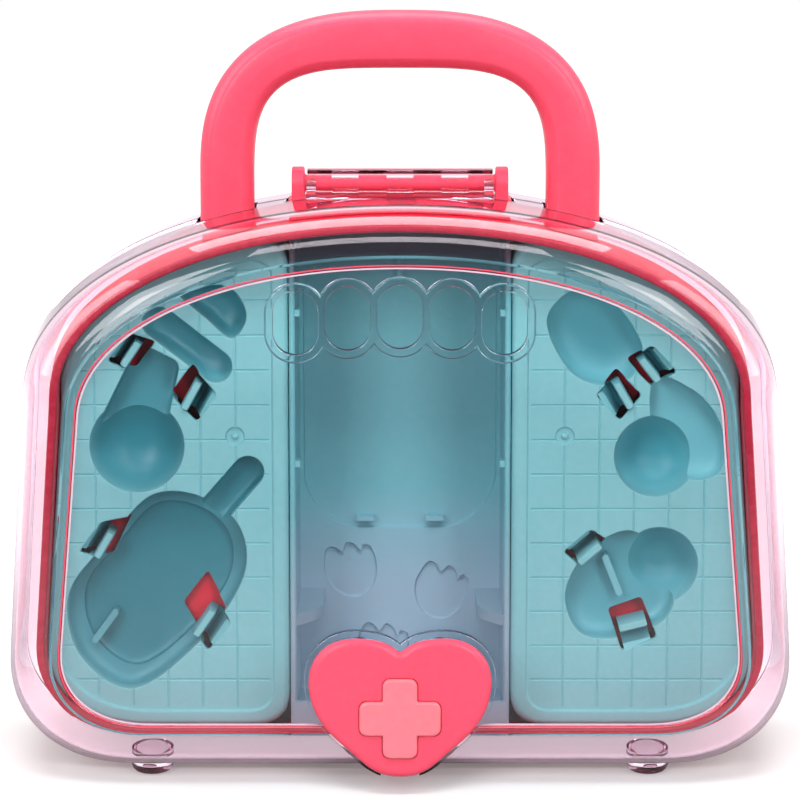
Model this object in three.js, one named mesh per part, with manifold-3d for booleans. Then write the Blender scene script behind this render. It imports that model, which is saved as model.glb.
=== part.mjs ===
// A child's toy vet kit: a domed carry case that stands on four feet.
// A clear lid hangs on a rod above the case and swings up over a coral tub.
// The tub holds two teal tool trays and a pet bay, and a heart latch shuts the lid.
// Millimetres. +Z is up, the lid faces -Y, and the floor is the plane z = 0.

import * as THREE from 'three';
import { mergeVertices } from 'three/addons/utils/BufferGeometryUtils.js';
import Module from 'manifold-3d';

const wasm = await Module();
wasm.setup();

// Clearances
const TOUCH_GAP = 0.3;
const PIN_GAP = 0.35;
const SWING_GAP = 0.9;

// Case outline, seen from the front, at the parting plane y = 0
const CASE_BOTTOM = 4;
const CASE_TOP = 192;
const CASE_HALF_WIDTH_LOW = 129.8;
const CASE_HALF_WIDTH_SPRING = 124.3;
const SPRING_HEIGHT = 128;
const ARCH_POWER = 2.08;
const CORNER_WIDTH = 42;
const CORNER_HEIGHT = 36;
const CORNER_POWER = 2.2;
const ARCH_STEPS = 10;
const CORNER_STEPS = 5;

// How the outline changes as it steps in by one millimetre
const SPRING_WIDTH_RATE = 1.05;
const SPRING_DROP_RATE = 0.3;
const BOTTOM_RATE = 0.94;
const CORNER_RATE = 0.68;

// Clear shells
const SHELL_WALL = 2;
const LID_DEPTH = 46;
const REAR_DEPTH = 54;
const WALL_DRAFT = 1.6;
const FACE_INSET = 19.5;
const SHOULDER_DEPTH = 19.5;
const SHOULDER_STEPS = 4;
const FACE_STEP_WIDTH = 3.4;
const FACE_STEP_DEPTH = 0.8;

// Vents through the lid's face
const VENT_COUNT = 5;
const VENT_PITCH = 16.6;
const VENT_WIDTH = 14.4;
const VENT_HEIGHT = 20.4;
const VENT_ARCH_RADIUS = 279;
const VENT_DROP = 35.6;
const VENT_RIM = 2.6;
const VENT_RIM_RISE = 1;

// Feet
const FOOT_RADIUS = 7;
const FOOT_INSET = 47.4;
const FOOT_SETBACK = 20;

// Coral core tub
const CORE_GAP = 6;
const CORE_WALL = 2.3;
const LID_SPACE = 21;
const REAR_SPACE = 8;
const CORE_DRAFT = 2.8;
const CORE_BACK_WALL = 3;
const CORE_BACK_ROUND = 8;
const BOSS_RADIUS = 4.5;
const BOSS_INSET_LOW = 45.8;
const BOSS_RISE_LOW = 42;
const BOSS_INSET_HIGH = 52.3;
const BOSS_DROP_HIGH = 48;
const CATCH_DROP = 0.7;
const CATCH_DEPTH = 2;
const CATCH_HALF_WIDTH = 9;

// Screws that hold the rear shell
const SCREW_SHANK_RADIUS = 1.6;
const SCREW_HEAD_RADIUS = 3.4;
const SCREW_HEAD_DEPTH = 1.4;
const SCREW_BITE = 5;

// Handle
const HANDLE_HALF_SPAN = 65.7;
const HANDLE_REACH = 59.2;
const HANDLE_RISE = 54.5;
const HANDLE_POWER = 2.6;
const GRIP_HALF_SPAN = 48;
const HANDLE_THICKNESS = 18.8;
const GRIP_RISE = 42;
const GRIP_POWER = 3.8;
const HANDLE_HALF_DEPTH = 8.2;
const HANDLE_ROUND = 4.2;
const HANDLE_STEPS = 22;
const HANDLE_SCREW_RISE = 16.4;
const HANDLE_SCREW_BITE = 5;

// Hinge
const HINGE_RISE = 2.6;
const ROD_RADIUS = 2.6;
const EAR_INSIDE = 31.4;
const EAR_THICKNESS = 4.2;
const EAR_RADIUS = 5.4;
const BRACKET_MARGIN = 1;
const BRACKET_FRONT = -4;
const BRACKET_BACK = 9;
const BRACKET_GAP = 0.4;
const GUTTER_WALL = 1.8;
const GUTTER_MOUTH_ANGLE = 66;
const FLANGE_REACH = 16;
const GUSSET_THICKNESS = 3;
const LIP_TAB_WIDTH = 8.8;
const LIP_TAB_PITCH = 18;
const LIP_TAB_DROP = 0.9;

// Trays
const TRAY_SETBACK = 16;
const TRAY_PLATE = 2.4;
const TRAY_WALL = 1.6;
const TRAY_CORNER = 11;
const BEAD_WIDTH = 5.6;
const BEAD_RISE = 1.2;
const BEAD_SLOPE = 1.1;
const POCKET_DEPTH = 10;
const BOWL_DEPTH = 13;
const POCKET_STEPS = 18;
const BOTTLE_SHELF = 3.6;
const BOTTLE_STEP = 2.5;
const PRONG_WIDTH = 1.8;
const PRONG_RISE = 2;
const NUB_RADIUS = 1.3;
const DIMPLE_RADIUS = 3.1;

// Pet bay
const BAY_HALF_WIDTH = 36.6;
const BAY_WALL = 1.9;
const BAY_BACK_WALL = 3.6;
const RECESS_MARGIN = 1.5;
const RECESS_BOTTOM = 70.8;
const RECESS_CORNER = 13;
const RECESS_DEPTH = 1.8;
const RECESS_TOP_MARGIN = 3;
const TAB_CENTRE = 12;
const TAB_WIDTH = 6;
const TAB_HEIGHT = 1.7;
const LEDGE_REACH = 9;
const LEDGE_TOP = 49;
const LEDGE_THICKNESS = 3.8;
const LEDGE_FRONT = -2;
const LEDGE_TIP = 14;
const SIDE_RIB_HEIGHTS = [152.4, 102];
const SIDE_RIB_DEPTH = 1.6;
const SIDE_RIB_HEIGHT = 2.2;
const PEG_WIDTH = 2;
const PEG_HEIGHT = 15;
const PEG_RISE = 2.2;
const FLOOR_LIP_TOP = 21;
const PRINT_DEPTH = 1;

// Heart latch
const HEART_HALF_WIDTH = 29.5;
const HEART_TOP = 53;
const HEART_CLEFT = 47.6;
const HEART_WIDEST = 38.2;
const HEART_TIP = 7;
const HEART_THICKNESS = 4.3;
const HEART_ROUND = 2.2;
const BOSS_RISE = 2;
const BOSS_MARGIN = 1.6;
const BOSS_WALL = 2.7;
const CROSS_SPAN = 26.2;
const CROSS_ARM = 11.2;
const CROSS_CORNER = 2.5;
const CROSS_CENTRE_HEIGHT = 26.8;
const CROSS_SEAT = 0.8;
const CROSS_RISE = 1.4;
const PIN_RADIUS = 1.5;
const PIN_HALF_LENGTH = 8.6;
const PIN_DROP = 5.1;
const PIN_BEHIND_BOSS = 2.5;
const LUG_HALF_WIDTH = 4.5;
const LUG_RADIUS = 3;
const PIN_EAR_THICKNESS = 3.2;
const LATCH_RANGE = 15;
const ARM_HALF_WIDTH = 5;
const ARM_GAP = 1.3;
const ARM_THICKNESS = 1.7;
const ARM_ROOT_HEIGHT = 17;
const BARB_RISE = 0.8;
const BARB_LENGTH = 2.8;

// Places that follow from the sizes above
const coreFront = LID_SPACE - LID_DEPTH;
const coreBack = REAR_DEPTH - REAR_SPACE;
const trayFront = coreFront + TRAY_SETBACK;
const handleTop = CASE_TOP + HANDLE_REACH;
const gripTop = handleTop - HANDLE_THICKNESS;
const hingeHeight = CASE_TOP + HINGE_RISE;
const bracketHalfWidth = EAR_INSIDE + EAR_THICKNESS + BRACKET_MARGIN;
const footSpread = CASE_HALF_WIDTH_LOW - FOOT_INSET;
const pinHeight = HEART_CLEFT - PIN_DROP;

// Materials
function plastic(color, roughness) {
  return new THREE.MeshStandardMaterial({ color, roughness, metalness: 0 });
}
const coral = plastic(0xff5873, 0.35);
const palePink = plastic(0xff919b, 0.4);
const teal = plastic(0x6fb9c2, 0.45);
const clear = new THREE.MeshStandardMaterial({
  color: 0xeef2f5, roughness: 0.12, metalness: 0, transparent: true, opacity: 0.3,
});
const steel = new THREE.MeshStandardMaterial({ color: 0xb9bcc0, roughness: 0.35, metalness: 1 });

const radians = THREE.MathUtils.degToRad;

// Solids

// Turns a closed geometry into a solid that can be cut and joined.
function toSolid(geometry) {
  const bare = geometry.index ? geometry.toNonIndexed() : geometry.clone();
  bare.deleteAttribute('normal');
  bare.deleteAttribute('uv');
  const merged = mergeVertices(bare, 1e-4);
  return new wasm.Manifold(new wasm.Mesh({
    numProp: 3,
    vertProperties: new Float32Array(merged.attributes.position.array),
    triVerts: new Uint32Array(merged.index.array),
  }));
}

function toGeometry(solid) {
  const mesh = solid.getMesh();
  const geometry = new THREE.BufferGeometry();
  const points = new THREE.BufferAttribute(new Float32Array(mesh.vertProperties), 3);
  geometry.setAttribute('position', points);
  geometry.setIndex(new THREE.BufferAttribute(new Uint32Array(mesh.triVerts), 1));
  geometry.computeVertexNormals();
  return geometry;
}

function join(solids) {
  return solids.reduce((whole, piece) => whole.add(piece));
}

function signedVolume(positions, index) {
  const a = new THREE.Vector3();
  const b = new THREE.Vector3();
  const c = new THREE.Vector3();
  let volume = 0;
  for (let i = 0; i < index.length; i += 3) {
    a.fromArray(positions, index[i] * 3);
    b.fromArray(positions, index[i + 1] * 3);
    c.fromArray(positions, index[i + 2] * 3);
    volume += a.dot(b.cross(c)) / 6;
  }
  return volume;
}

// Skins a stack of rings, all with the same number of points, and closes both ends.
function loft(rings) {
  const count = rings[0].length;
  const positions = [];
  const index = [];
  for (const ring of rings) {
    for (const point of ring) {
      positions.push(point.x, point.y, point.z);
    }
  }
  for (let r = 0; r + 1 < rings.length; r += 1) {
    for (let i = 0; i < count; i += 1) {
      const next = (i + 1) % count;
      const near = r * count;
      const far = near + count;
      index.push(near + i, far + i, near + next);
      index.push(near + next, far + i, far + next);
    }
  }
  const ends = [[rings[0], 0, false], [rings.at(-1), (rings.length - 1) * count, true]];
  for (const [ring, start, flipped] of ends) {
    const centre = ring.reduce((sum, p) => sum.add(p), new THREE.Vector3()).divideScalar(count);
    const middle = positions.length / 3;
    positions.push(centre.x, centre.y, centre.z);
    for (let i = 0; i < count; i += 1) {
      const next = (i + 1) % count;
      index.push(...(flipped
        ? [middle, start + next, start + i]
        : [middle, start + i, start + next]));
    }
  }
  if (signedVolume(positions, index) < 0) {
    index.reverse();
  }
  const geometry = new THREE.BufferGeometry();
  geometry.setAttribute('position', new THREE.Float32BufferAttribute(positions, 3));
  geometry.setIndex(index);
  return toSolid(geometry);
}

// Extrudes an outline given as (x, z) points from the plane y = front to y = back.
function prism(outline, front, back) {
  const shape = new THREE.Shape(outline);
  const depth = back - front;
  const geometry = new THREE.ExtrudeGeometry(shape, { depth, steps: 1, bevelEnabled: false });
  geometry.rotateX(Math.PI / 2);
  geometry.translate(0, back, 0);
  return toSolid(geometry);
}

// Extrudes a section given as (y, z) points from x = left to x = right.
function bar(section, left, right) {
  const shape = new THREE.Shape(section);
  const depth = right - left;
  const geometry = new THREE.ExtrudeGeometry(shape, { depth, steps: 1, bevelEnabled: false });
  const turn = new THREE.Matrix4().makeBasis(
    new THREE.Vector3(0, 1, 0), new THREE.Vector3(0, 0, 1), new THREE.Vector3(1, 0, 0));
  geometry.applyMatrix4(turn);
  geometry.translate(left, 0, 0);
  return toSolid(geometry);
}

function block(left, right, front, back, low, high) {
  const geometry = new THREE.BoxGeometry(right - left, back - front, high - low);
  geometry.translate((left + right) / 2, (front + back) / 2, (low + high) / 2);
  return toSolid(geometry);
}

// Extrudes a plan given as (x, y) points from z = low to z = high.
function slab(plan, low, high) {
  const shape = new THREE.Shape(plan.map(([x, y]) => new THREE.Vector2(x, y)));
  const depth = high - low;
  const geometry = new THREE.ExtrudeGeometry(shape, { depth, steps: 1, bevelEnabled: false });
  geometry.translate(0, 0, low);
  return toSolid(geometry);
}

// A round bar along Y.
function roundAlongY(radius, x, z, front, back, sides = 14) {
  const geometry = new THREE.CylinderGeometry(radius, radius, back - front, sides);
  geometry.translate(x, (front + back) / 2, z);
  return toSolid(geometry);
}

// A round bar along X.
function roundAlongX(radius, y, z, left, right, sides = 16) {
  const geometry = new THREE.CylinderGeometry(radius, radius, right - left, sides);
  geometry.rotateZ(Math.PI / 2);
  geometry.translate((left + right) / 2, y, z);
  return toSolid(geometry);
}

// Outlines

function pointsXZ(pairs) {
  return pairs.map(([x, z]) => new THREE.Vector2(x, z));
}

// Moves each point of a counter-clockwise outline outwards by a distance.
function grown(outline, distance) {
  return outline.map((point, i) => {
    const before = outline[(i + outline.length - 1) % outline.length];
    const after = outline[(i + 1) % outline.length];
    const along = after.clone().sub(before).normalize();
    return new THREE.Vector2(point.x + along.y * distance, point.y - along.x * distance);
  });
}

function counterClockwise(outline) {
  return THREE.ShapeUtils.isClockWise(outline) ? outline.slice().reverse() : outline;
}

// A smooth closed curve through a few points.
function smooth(pairs, steps = POCKET_STEPS) {
  const knots = pairs.map(([x, z]) => new THREE.Vector3(x, z, 0));
  const curve = new THREE.CatmullRomCurve3(knots, true, 'centripetal');
  const points = curve.getPoints(steps).slice(0, steps);
  return counterClockwise(points.map((p) => new THREE.Vector2(p.x, p.y)));
}

function circle(x, z, radius, steps = POCKET_STEPS) {
  const outline = [];
  for (let i = 0; i < steps; i += 1) {
    const angle = 2 * Math.PI * i / steps;
    outline.push(new THREE.Vector2(x + radius * Math.cos(angle), z + radius * Math.sin(angle)));
  }
  return outline;
}

// A slot with round ends between two points.
function stadium(x1, z1, x2, z2, radius, steps = 7) {
  const heading = Math.atan2(z2 - z1, x2 - x1);
  const outline = [];
  for (const [x, z, start] of [[x2, z2, heading - Math.PI / 2], [x1, z1, heading + Math.PI / 2]]) {
    for (let i = 0; i <= steps; i += 1) {
      const angle = start + Math.PI * i / steps;
      outline.push(new THREE.Vector2(x + radius * Math.cos(angle), z + radius * Math.sin(angle)));
    }
  }
  return outline;
}

function roundedBox(halfWidth, low, high, radius, steps = 4) {
  const corners = [
    [halfWidth - radius, high - radius, 0], [radius - halfWidth, high - radius, 90],
    [radius - halfWidth, low + radius, 180], [halfWidth - radius, low + radius, 270],
  ];
  const outline = [];
  for (const [x, z, start] of corners) {
    for (let i = 0; i <= steps; i += 1) {
      const angle = radians(start + 90 * i / steps);
      outline.push(new THREE.Vector2(x + radius * Math.cos(angle), z + radius * Math.sin(angle)));
    }
  }
  return outline;
}

// The case's outline, stepped in by a distance: an arch over tapered sides and round corners.
function caseOutline(inset) {
  const cornerWidth = CORNER_WIDTH - inset * CORNER_RATE;
  const cornerHeight = CORNER_HEIGHT - inset * CORNER_RATE;
  const bottom = CASE_BOTTOM + inset * BOTTOM_RATE;
  return {
    bottom,
    top: CASE_TOP - inset,
    spring: SPRING_HEIGHT - inset * SPRING_DROP_RATE,
    springHalf: CASE_HALF_WIDTH_SPRING - inset * SPRING_WIDTH_RATE,
    cornerTop: bottom + cornerHeight,
    lowHalf: CASE_HALF_WIDTH_LOW - inset,
    cornerWidth,
    cornerHeight,
  };
}

function archPoint(outline, angle) {
  const x = outline.springHalf * Math.sin(angle) ** (2 / ARCH_POWER);
  const rise = (outline.top - outline.spring) * Math.cos(angle) ** (2 / ARCH_POWER);
  return [x, outline.spring + rise];
}

function archHeight(outline, x) {
  const share = Math.abs(x) / outline.springHalf;
  const rise = (1 - share ** ARCH_POWER) ** (1 / ARCH_POWER);
  return outline.spring + (outline.top - outline.spring) * rise;
}

function cornerPoint(outline, angle) {
  const across = outline.cornerWidth * Math.cos(angle) ** (2 / CORNER_POWER);
  const down = outline.cornerHeight * Math.sin(angle) ** (2 / CORNER_POWER);
  return [outline.lowHalf - outline.cornerWidth + across, outline.cornerTop - down];
}

// The whole outline as a ring of points in the plane y.
function caseRing(inset, y) {
  const outline = caseOutline(inset);
  const right = [];
  for (let i = 1; i <= ARCH_STEPS; i += 1) {
    right.push(archPoint(outline, Math.PI / 2 * Math.min(i / ARCH_STEPS, 0.99999)));
  }
  for (let i = 0; i <= CORNER_STEPS; i += 1) {
    right.push(cornerPoint(outline, Math.PI / 2 * Math.min(i / CORNER_STEPS, 0.99999)));
  }
  const left = right.map(([x, z]) => [-x, z]).reverse();
  const all = [[0, outline.top], ...right, [0, outline.bottom], ...left];
  return all.map(([x, z]) => new THREE.Vector3(x, y, z));
}

// A moulding whose outline steps in along Y by a list of [inset, y] stations.
function caseLoft(stations) {
  return loft(stations.map(([inset, y]) => caseRing(inset, y)));
}

// Shells

// Stations from the parting plane to the face: a drafted wall, a round shoulder and a step.
function shellStations(depth, wall) {
  const straight = depth - SHOULDER_DEPTH;
  const edgeInset = FACE_INSET - FACE_STEP_WIDTH;
  const edgeDepth = depth - FACE_STEP_DEPTH;
  const stations = [[wall, 0]];
  for (let i = 0; i <= SHOULDER_STEPS; i += 1) {
    const angle = Math.PI / 2 * i / SHOULDER_STEPS;
    const inset = WALL_DRAFT + (edgeInset - WALL_DRAFT) * (1 - Math.cos(angle));
    const out = straight + (edgeDepth - straight) * Math.sin(angle);
    stations.push([inset + wall, out - wall * Math.sin(angle)]);
  }
  if (wall === 0) {
    stations.push([FACE_INSET, depth]);
  }
  return stations;
}

function shellSolid(depth, direction) {
  const place = (stations) => stations.map(([inset, out]) => [inset, out * direction]);
  const start = direction * TOUCH_GAP / 2;
  const outside = place(shellStations(depth, 0));
  outside[0][1] = start;
  const inside = place(shellStations(depth, SHELL_WALL));
  inside[0][1] = start - direction;
  return caseLoft(outside).subtract(caseLoft(inside));
}

// The space that a shell's outside fills, grown by a gap, for what rests against it.
function shellEnvelope(depth, direction, gap) {
  const stations = shellStations(depth, 0).map(([inset, out]) => [inset - gap, out * direction]);
  stations[0][1] = -direction;
  return caseLoft(stations);
}

const lidFace = -LID_DEPTH;
const bossFace = lidFace - BOSS_RISE;
const heartBack = bossFace - TOUCH_GAP;
const heartFront = heartBack - HEART_THICKNESS;
const pinY = bossFace + PIN_BEHIND_BOSS;

function ventCentres() {
  const centres = [];
  for (let i = 0; i < VENT_COUNT; i += 1) {
    const x = (i - (VENT_COUNT - 1) / 2) * VENT_PITCH;
    const drop = VENT_ARCH_RADIUS - Math.sqrt(VENT_ARCH_RADIUS ** 2 - x ** 2);
    centres.push([x, CASE_TOP - VENT_DROP - drop]);
  }
  return centres;
}

function ventPrisms(margin, front, back) {
  const radius = VENT_WIDTH / 2 + margin;
  const straight = (VENT_HEIGHT - VENT_WIDTH) / 2;
  return join(ventCentres().map(([x, z]) =>
    prism(stadium(x, z - straight, x, z + straight, radius, 6), front, back)));
}

// Heart

function heartOutline() {
  const half = HEART_HALF_WIDTH;
  const width = HEART_TOP - HEART_TIP;
  const lobe = half * 0.485;
  const shape = new THREE.Shape();
  const height = (share) => HEART_TIP + width * share;
  for (const side of [1, -1]) {
    const curves = [
      [[lobe * 0.16, HEART_CLEFT + 3.4], [lobe * 0.5, HEART_TOP], [lobe, HEART_TOP]],
      [[half * 0.8, HEART_TOP], [half, HEART_WIDEST + 8.2], [half, HEART_WIDEST]],
      [[half, HEART_WIDEST - 7], [half * 0.9, height(0.41)], [half * 0.79, height(0.33)]],
      [[half * 0.66, height(0.235)], [half * 0.5, height(0.16)], [half * 0.39, height(0.09)]],
      [[half * 0.24, height(0.01)], [half * 0.12, HEART_TIP], [0, HEART_TIP]],
    ];
    const starts = [[0, HEART_CLEFT], ...curves.map((curve) => curve[2])];
    const ordered = curves.map((curve, i) => [starts[i], ...curve]);
    if (side === 1) {
      shape.moveTo(0, HEART_CLEFT);
      for (const [, a, b, c] of ordered) {
        shape.bezierCurveTo(a[0], a[1], b[0], b[1], c[0], c[1]);
      }
    } else {
      for (const [a, b, c] of ordered.slice().reverse()) {
        shape.bezierCurveTo(-c[0], c[1], -b[0], b[1], -a[0], a[1]);
      }
    }
  }
  return counterClockwise(shape.getPoints(4).slice(0, -1));
}

function heartRing(margin, y) {
  return grown(heartOutline(), margin).map((p) => new THREE.Vector3(p.x, y, p.y));
}

function crossOutline(margin) {
  const reach = CROSS_SPAN / 2 + margin;
  const arm = CROSS_ARM / 2 + margin;
  const tip = CROSS_CORNER;
  const quarter = [[reach, arm - tip], [reach - tip * 0.3, arm - tip * 0.3], [reach - tip, arm]];
  quarter.push([arm, arm]);
  quarter.push([arm, reach - tip], [arm - tip * 0.3, reach - tip * 0.3], [arm - tip, reach]);
  const outline = [];
  for (let turn = 0; turn < 4; turn += 1) {
    const cos = Math.round(Math.cos(turn * Math.PI / 2));
    const sin = Math.round(Math.sin(turn * Math.PI / 2));
    for (const [x, z] of quarter) {
      const height = CROSS_CENTRE_HEIGHT + x * sin + z * cos;
      outline.push(new THREE.Vector2(x * cos - z * sin, height));
    }
  }
  return outline;
}

// Lid

function hingeNotch(front) {
  const half = bracketHalfWidth + SWING_GAP;
  return block(-half, half, front, 1, CASE_TOP - 16, CASE_TOP + 10);
}

function legNotches(front, back) {
  const outside = HANDLE_HALF_SPAN + SWING_GAP;
  const inside = GRIP_HALF_SPAN - SWING_GAP;
  return join([1, -1].map((side) => block(
    Math.min(side * inside, side * outside), Math.max(side * inside, side * outside),
    front, back, SPRING_HEIGHT + 30, CASE_TOP + 10)));
}

function pinEars() {
  const inside = LUG_HALF_WIDTH + TOUCH_GAP;
  const outside = inside + PIN_EAR_THICKNESS;
  const reach = PIN_RADIUS + PIN_GAP + 1.6;
  return [1, -1].map((side) => block(
    Math.min(side * inside, side * outside), Math.max(side * inside, side * outside),
    bossFace + 1, pinY + reach, pinHeight - reach, pinHeight + reach));
}

function lidShell() {
  const bossSkin = loft([heartRing(BOSS_MARGIN, bossFace), heartRing(BOSS_MARGIN, -LID_DEPTH / 2)]);
  const bossRoom = loft([
    heartRing(BOSS_MARGIN - BOSS_WALL, bossFace + SHELL_WALL),
    heartRing(BOSS_MARGIN - BOSS_WALL, -LID_DEPTH / 2 + 1),
  ]);
  const inside = shellStations(LID_DEPTH, SHELL_WALL).map(([inset, out]) => [inset, -out]);
  inside[0][1] = 1;
  const rimPad = ventPrisms(VENT_RIM, lidFace - VENT_RIM_RISE, lidFace + SHELL_WALL / 2);
  const armSlot = ARM_HALF_WIDTH + ARM_GAP;
  return shellSolid(LID_DEPTH, -1)
    .add(rimPad)
    .add(bossSkin.subtract(caseLoft(inside)))
    .subtract(bossRoom)
    .add(join(pinEars()))
    .subtract(ventPrisms(0, lidFace - 3, lidFace + 4))
    .subtract(roundAlongX(PIN_RADIUS + PIN_GAP, pinY, pinHeight, -PIN_HALF_LENGTH - 0.4,
      PIN_HALF_LENGTH + 0.4))
    .subtract(block(-LUG_HALF_WIDTH - TOUCH_GAP, LUG_HALF_WIDTH + TOUCH_GAP, bossFace - 1,
      bossFace + SHELL_WALL + 0.5, pinHeight - LUG_RADIUS - 1.6, pinHeight + LUG_RADIUS + 1.2))
    .subtract(block(-armSlot, armSlot, bossFace - 1, bossFace + SHELL_WALL + 0.5,
      0, ARM_ROOT_HEIGHT + 3))
    .subtract(block(-armSlot, armSlot, bossFace - 1, barbBack + 3, 0, armTop + 0.4))
    .subtract(hingeNotch(-EAR_RADIUS - SWING_GAP))
    .subtract(legNotches(-HANDLE_HALF_DEPTH - SWING_GAP, 1))
    .add(clipStrip());
}

// Core tub

const backRoundStart = coreBack - CORE_BACK_ROUND;
const coreBackFace = coreBack - CORE_BACK_WALL;

function coreOutside(gap) {
  return [
    [CORE_GAP + CORE_DRAFT - gap, coreFront - gap],
    [CORE_GAP - gap, 0],
    [CORE_GAP - gap, backRoundStart],
    [CORE_GAP + CORE_BACK_ROUND * 0.3 - gap, backRoundStart + CORE_BACK_ROUND * 0.72],
    [CORE_GAP + CORE_BACK_ROUND - gap, coreBack + gap],
  ];
}

// The inside of the tub, stepped in by a gap, from its open front to a plane.
function coreInside(gap, front, back) {
  const wall = CORE_WALL + gap;
  const draftAt = (y) => CORE_GAP + wall + Math.max(0, CORE_DRAFT * y / coreFront);
  const turn = backRoundStart - CORE_WALL;
  const stations = [[draftAt(front), front]];
  if (front < 0) {
    stations.push([draftAt(0), 0]);
  }
  stations.push([CORE_GAP + wall, turn]);
  const share = (back - turn) / (coreBackFace - turn);
  stations.push([CORE_GAP + wall + CORE_BACK_ROUND * share, back]);
  return stations;
}

const lowSpread = CASE_HALF_WIDTH_LOW - BOSS_INSET_LOW;
const highSpread = CASE_HALF_WIDTH_SPRING - BOSS_INSET_HIGH;
const bossPlaces = [
  ['low_left', -lowSpread, CASE_BOTTOM + BOSS_RISE_LOW],
  ['low_right', lowSpread, CASE_BOTTOM + BOSS_RISE_LOW],
  ['high_left', -highSpread, CASE_TOP - BOSS_DROP_HIGH],
  ['high_right', highSpread, CASE_TOP - BOSS_DROP_HIGH],
];
const faceWall = SHELL_WALL + FACE_STEP_DEPTH;
const rearInner = REAR_DEPTH - faceWall;
const coreFrontBottom = CASE_BOTTOM + (CORE_GAP + CORE_DRAFT) * BOTTOM_RATE;
const catchBottom = coreFrontBottom - CATCH_DROP;

function coreTub() {
  const bosses = bossPlaces.map(([, x, z]) =>
    roundAlongY(BOSS_RADIUS, x, z, coreBack - 1, rearInner - TOUCH_GAP));
  const pilots = bossPlaces.map(([, x, z]) => roundAlongY(
    SCREW_SHANK_RADIUS + TOUCH_GAP, x, z, rearInner - SCREW_BITE - 1, rearInner + 1, 10));
  const catchLip = block(-CATCH_HALF_WIDTH, CATCH_HALF_WIDTH, coreFront,
    coreFront + CATCH_DEPTH, catchBottom, coreFrontBottom + CORE_WALL / 2);
  const inside = coreInside(0, coreFront, coreBackFace);
  inside[0][1] = coreFront - 1;
  return caseLoft(coreOutside(0))
    .subtract(caseLoft(inside))
    .add(join(bosses))
    .subtract(join(pilots))
    .add(catchLip);
}

function coreEnvelope() {
  return caseLoft(coreOutside(TOUCH_GAP));
}

// Rear shell and what fastens it

function rearShell() {
  const holes = bossPlaces.map(([, x, z]) => roundAlongY(
    SCREW_SHANK_RADIUS + TOUCH_GAP, x, z, rearInner - 1, REAR_DEPTH + 1, 10));
  const seats = bossPlaces.map(([, x, z]) => roundAlongY(SCREW_HEAD_RADIUS + TOUCH_GAP, x, z,
    REAR_DEPTH - SCREW_HEAD_DEPTH, REAR_DEPTH + 1));
  const bracketHalf = bracketHalfWidth + TOUCH_GAP;
  const bracketRoom = block(-bracketHalf, bracketHalf, -1, BRACKET_BACK + TOUCH_GAP,
    CASE_TOP - 16, CASE_TOP + 10);
  return shellSolid(REAR_DEPTH, 1)
    .subtract(join(holes))
    .subtract(join(seats))
    .subtract(bracketRoom)
    .subtract(legNotches(-1, HANDLE_HALF_DEPTH + TOUCH_GAP));
}

// A screw along Y from its tip to the top of its head.
function screw(x, z, tip, end) {
  const length = end - tip;
  const neck = length - SCREW_HEAD_DEPTH;
  const profile = [
    [0, 0], [SCREW_SHANK_RADIUS, 0.4], [SCREW_SHANK_RADIUS, neck],
    [SCREW_HEAD_RADIUS, neck + TOUCH_GAP],
    [SCREW_HEAD_RADIUS * 0.8, length - 0.3], [0, length - 0.1],
  ];
  const geometry = new THREE.LatheGeometry(profile.map(([r, h]) => new THREE.Vector2(r, h)), 12);
  geometry.translate(x, tip, z);
  return toSolid(geometry);
}

function foot(x, y) {
  const r = FOOT_RADIUS;
  const height = CASE_BOTTOM + 5;
  const profile = [[0, 0], [r * 0.55, 0], [r * 0.87, 1.1], [r, 3.2], [r, height], [0, height]];
  const geometry = new THREE.LatheGeometry(profile.map(([a, h]) => new THREE.Vector2(a, h)), 14);
  geometry.rotateX(Math.PI / 2);
  geometry.translate(x, y, 0);
  const direction = Math.sign(y);
  const depth = direction < 0 ? LID_DEPTH : REAR_DEPTH;
  return toSolid(geometry).subtract(shellEnvelope(depth, direction, TOUCH_GAP));
}

// Handle

function archOffset(half, top, rise, power, angle) {
  const c = Math.cos(angle);
  const s = Math.sin(angle);
  const x = half * Math.sign(s) * Math.abs(s) ** (2 / power);
  return new THREE.Vector2(x, top - rise + rise * c ** (2 / power));
}

const handleScrewX = (HANDLE_HALF_SPAN + GRIP_HALF_SPAN) / 2;
const handleScrewHeight = archHeight(caseOutline(0), handleScrewX) + HANDLE_SCREW_RISE;

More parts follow.
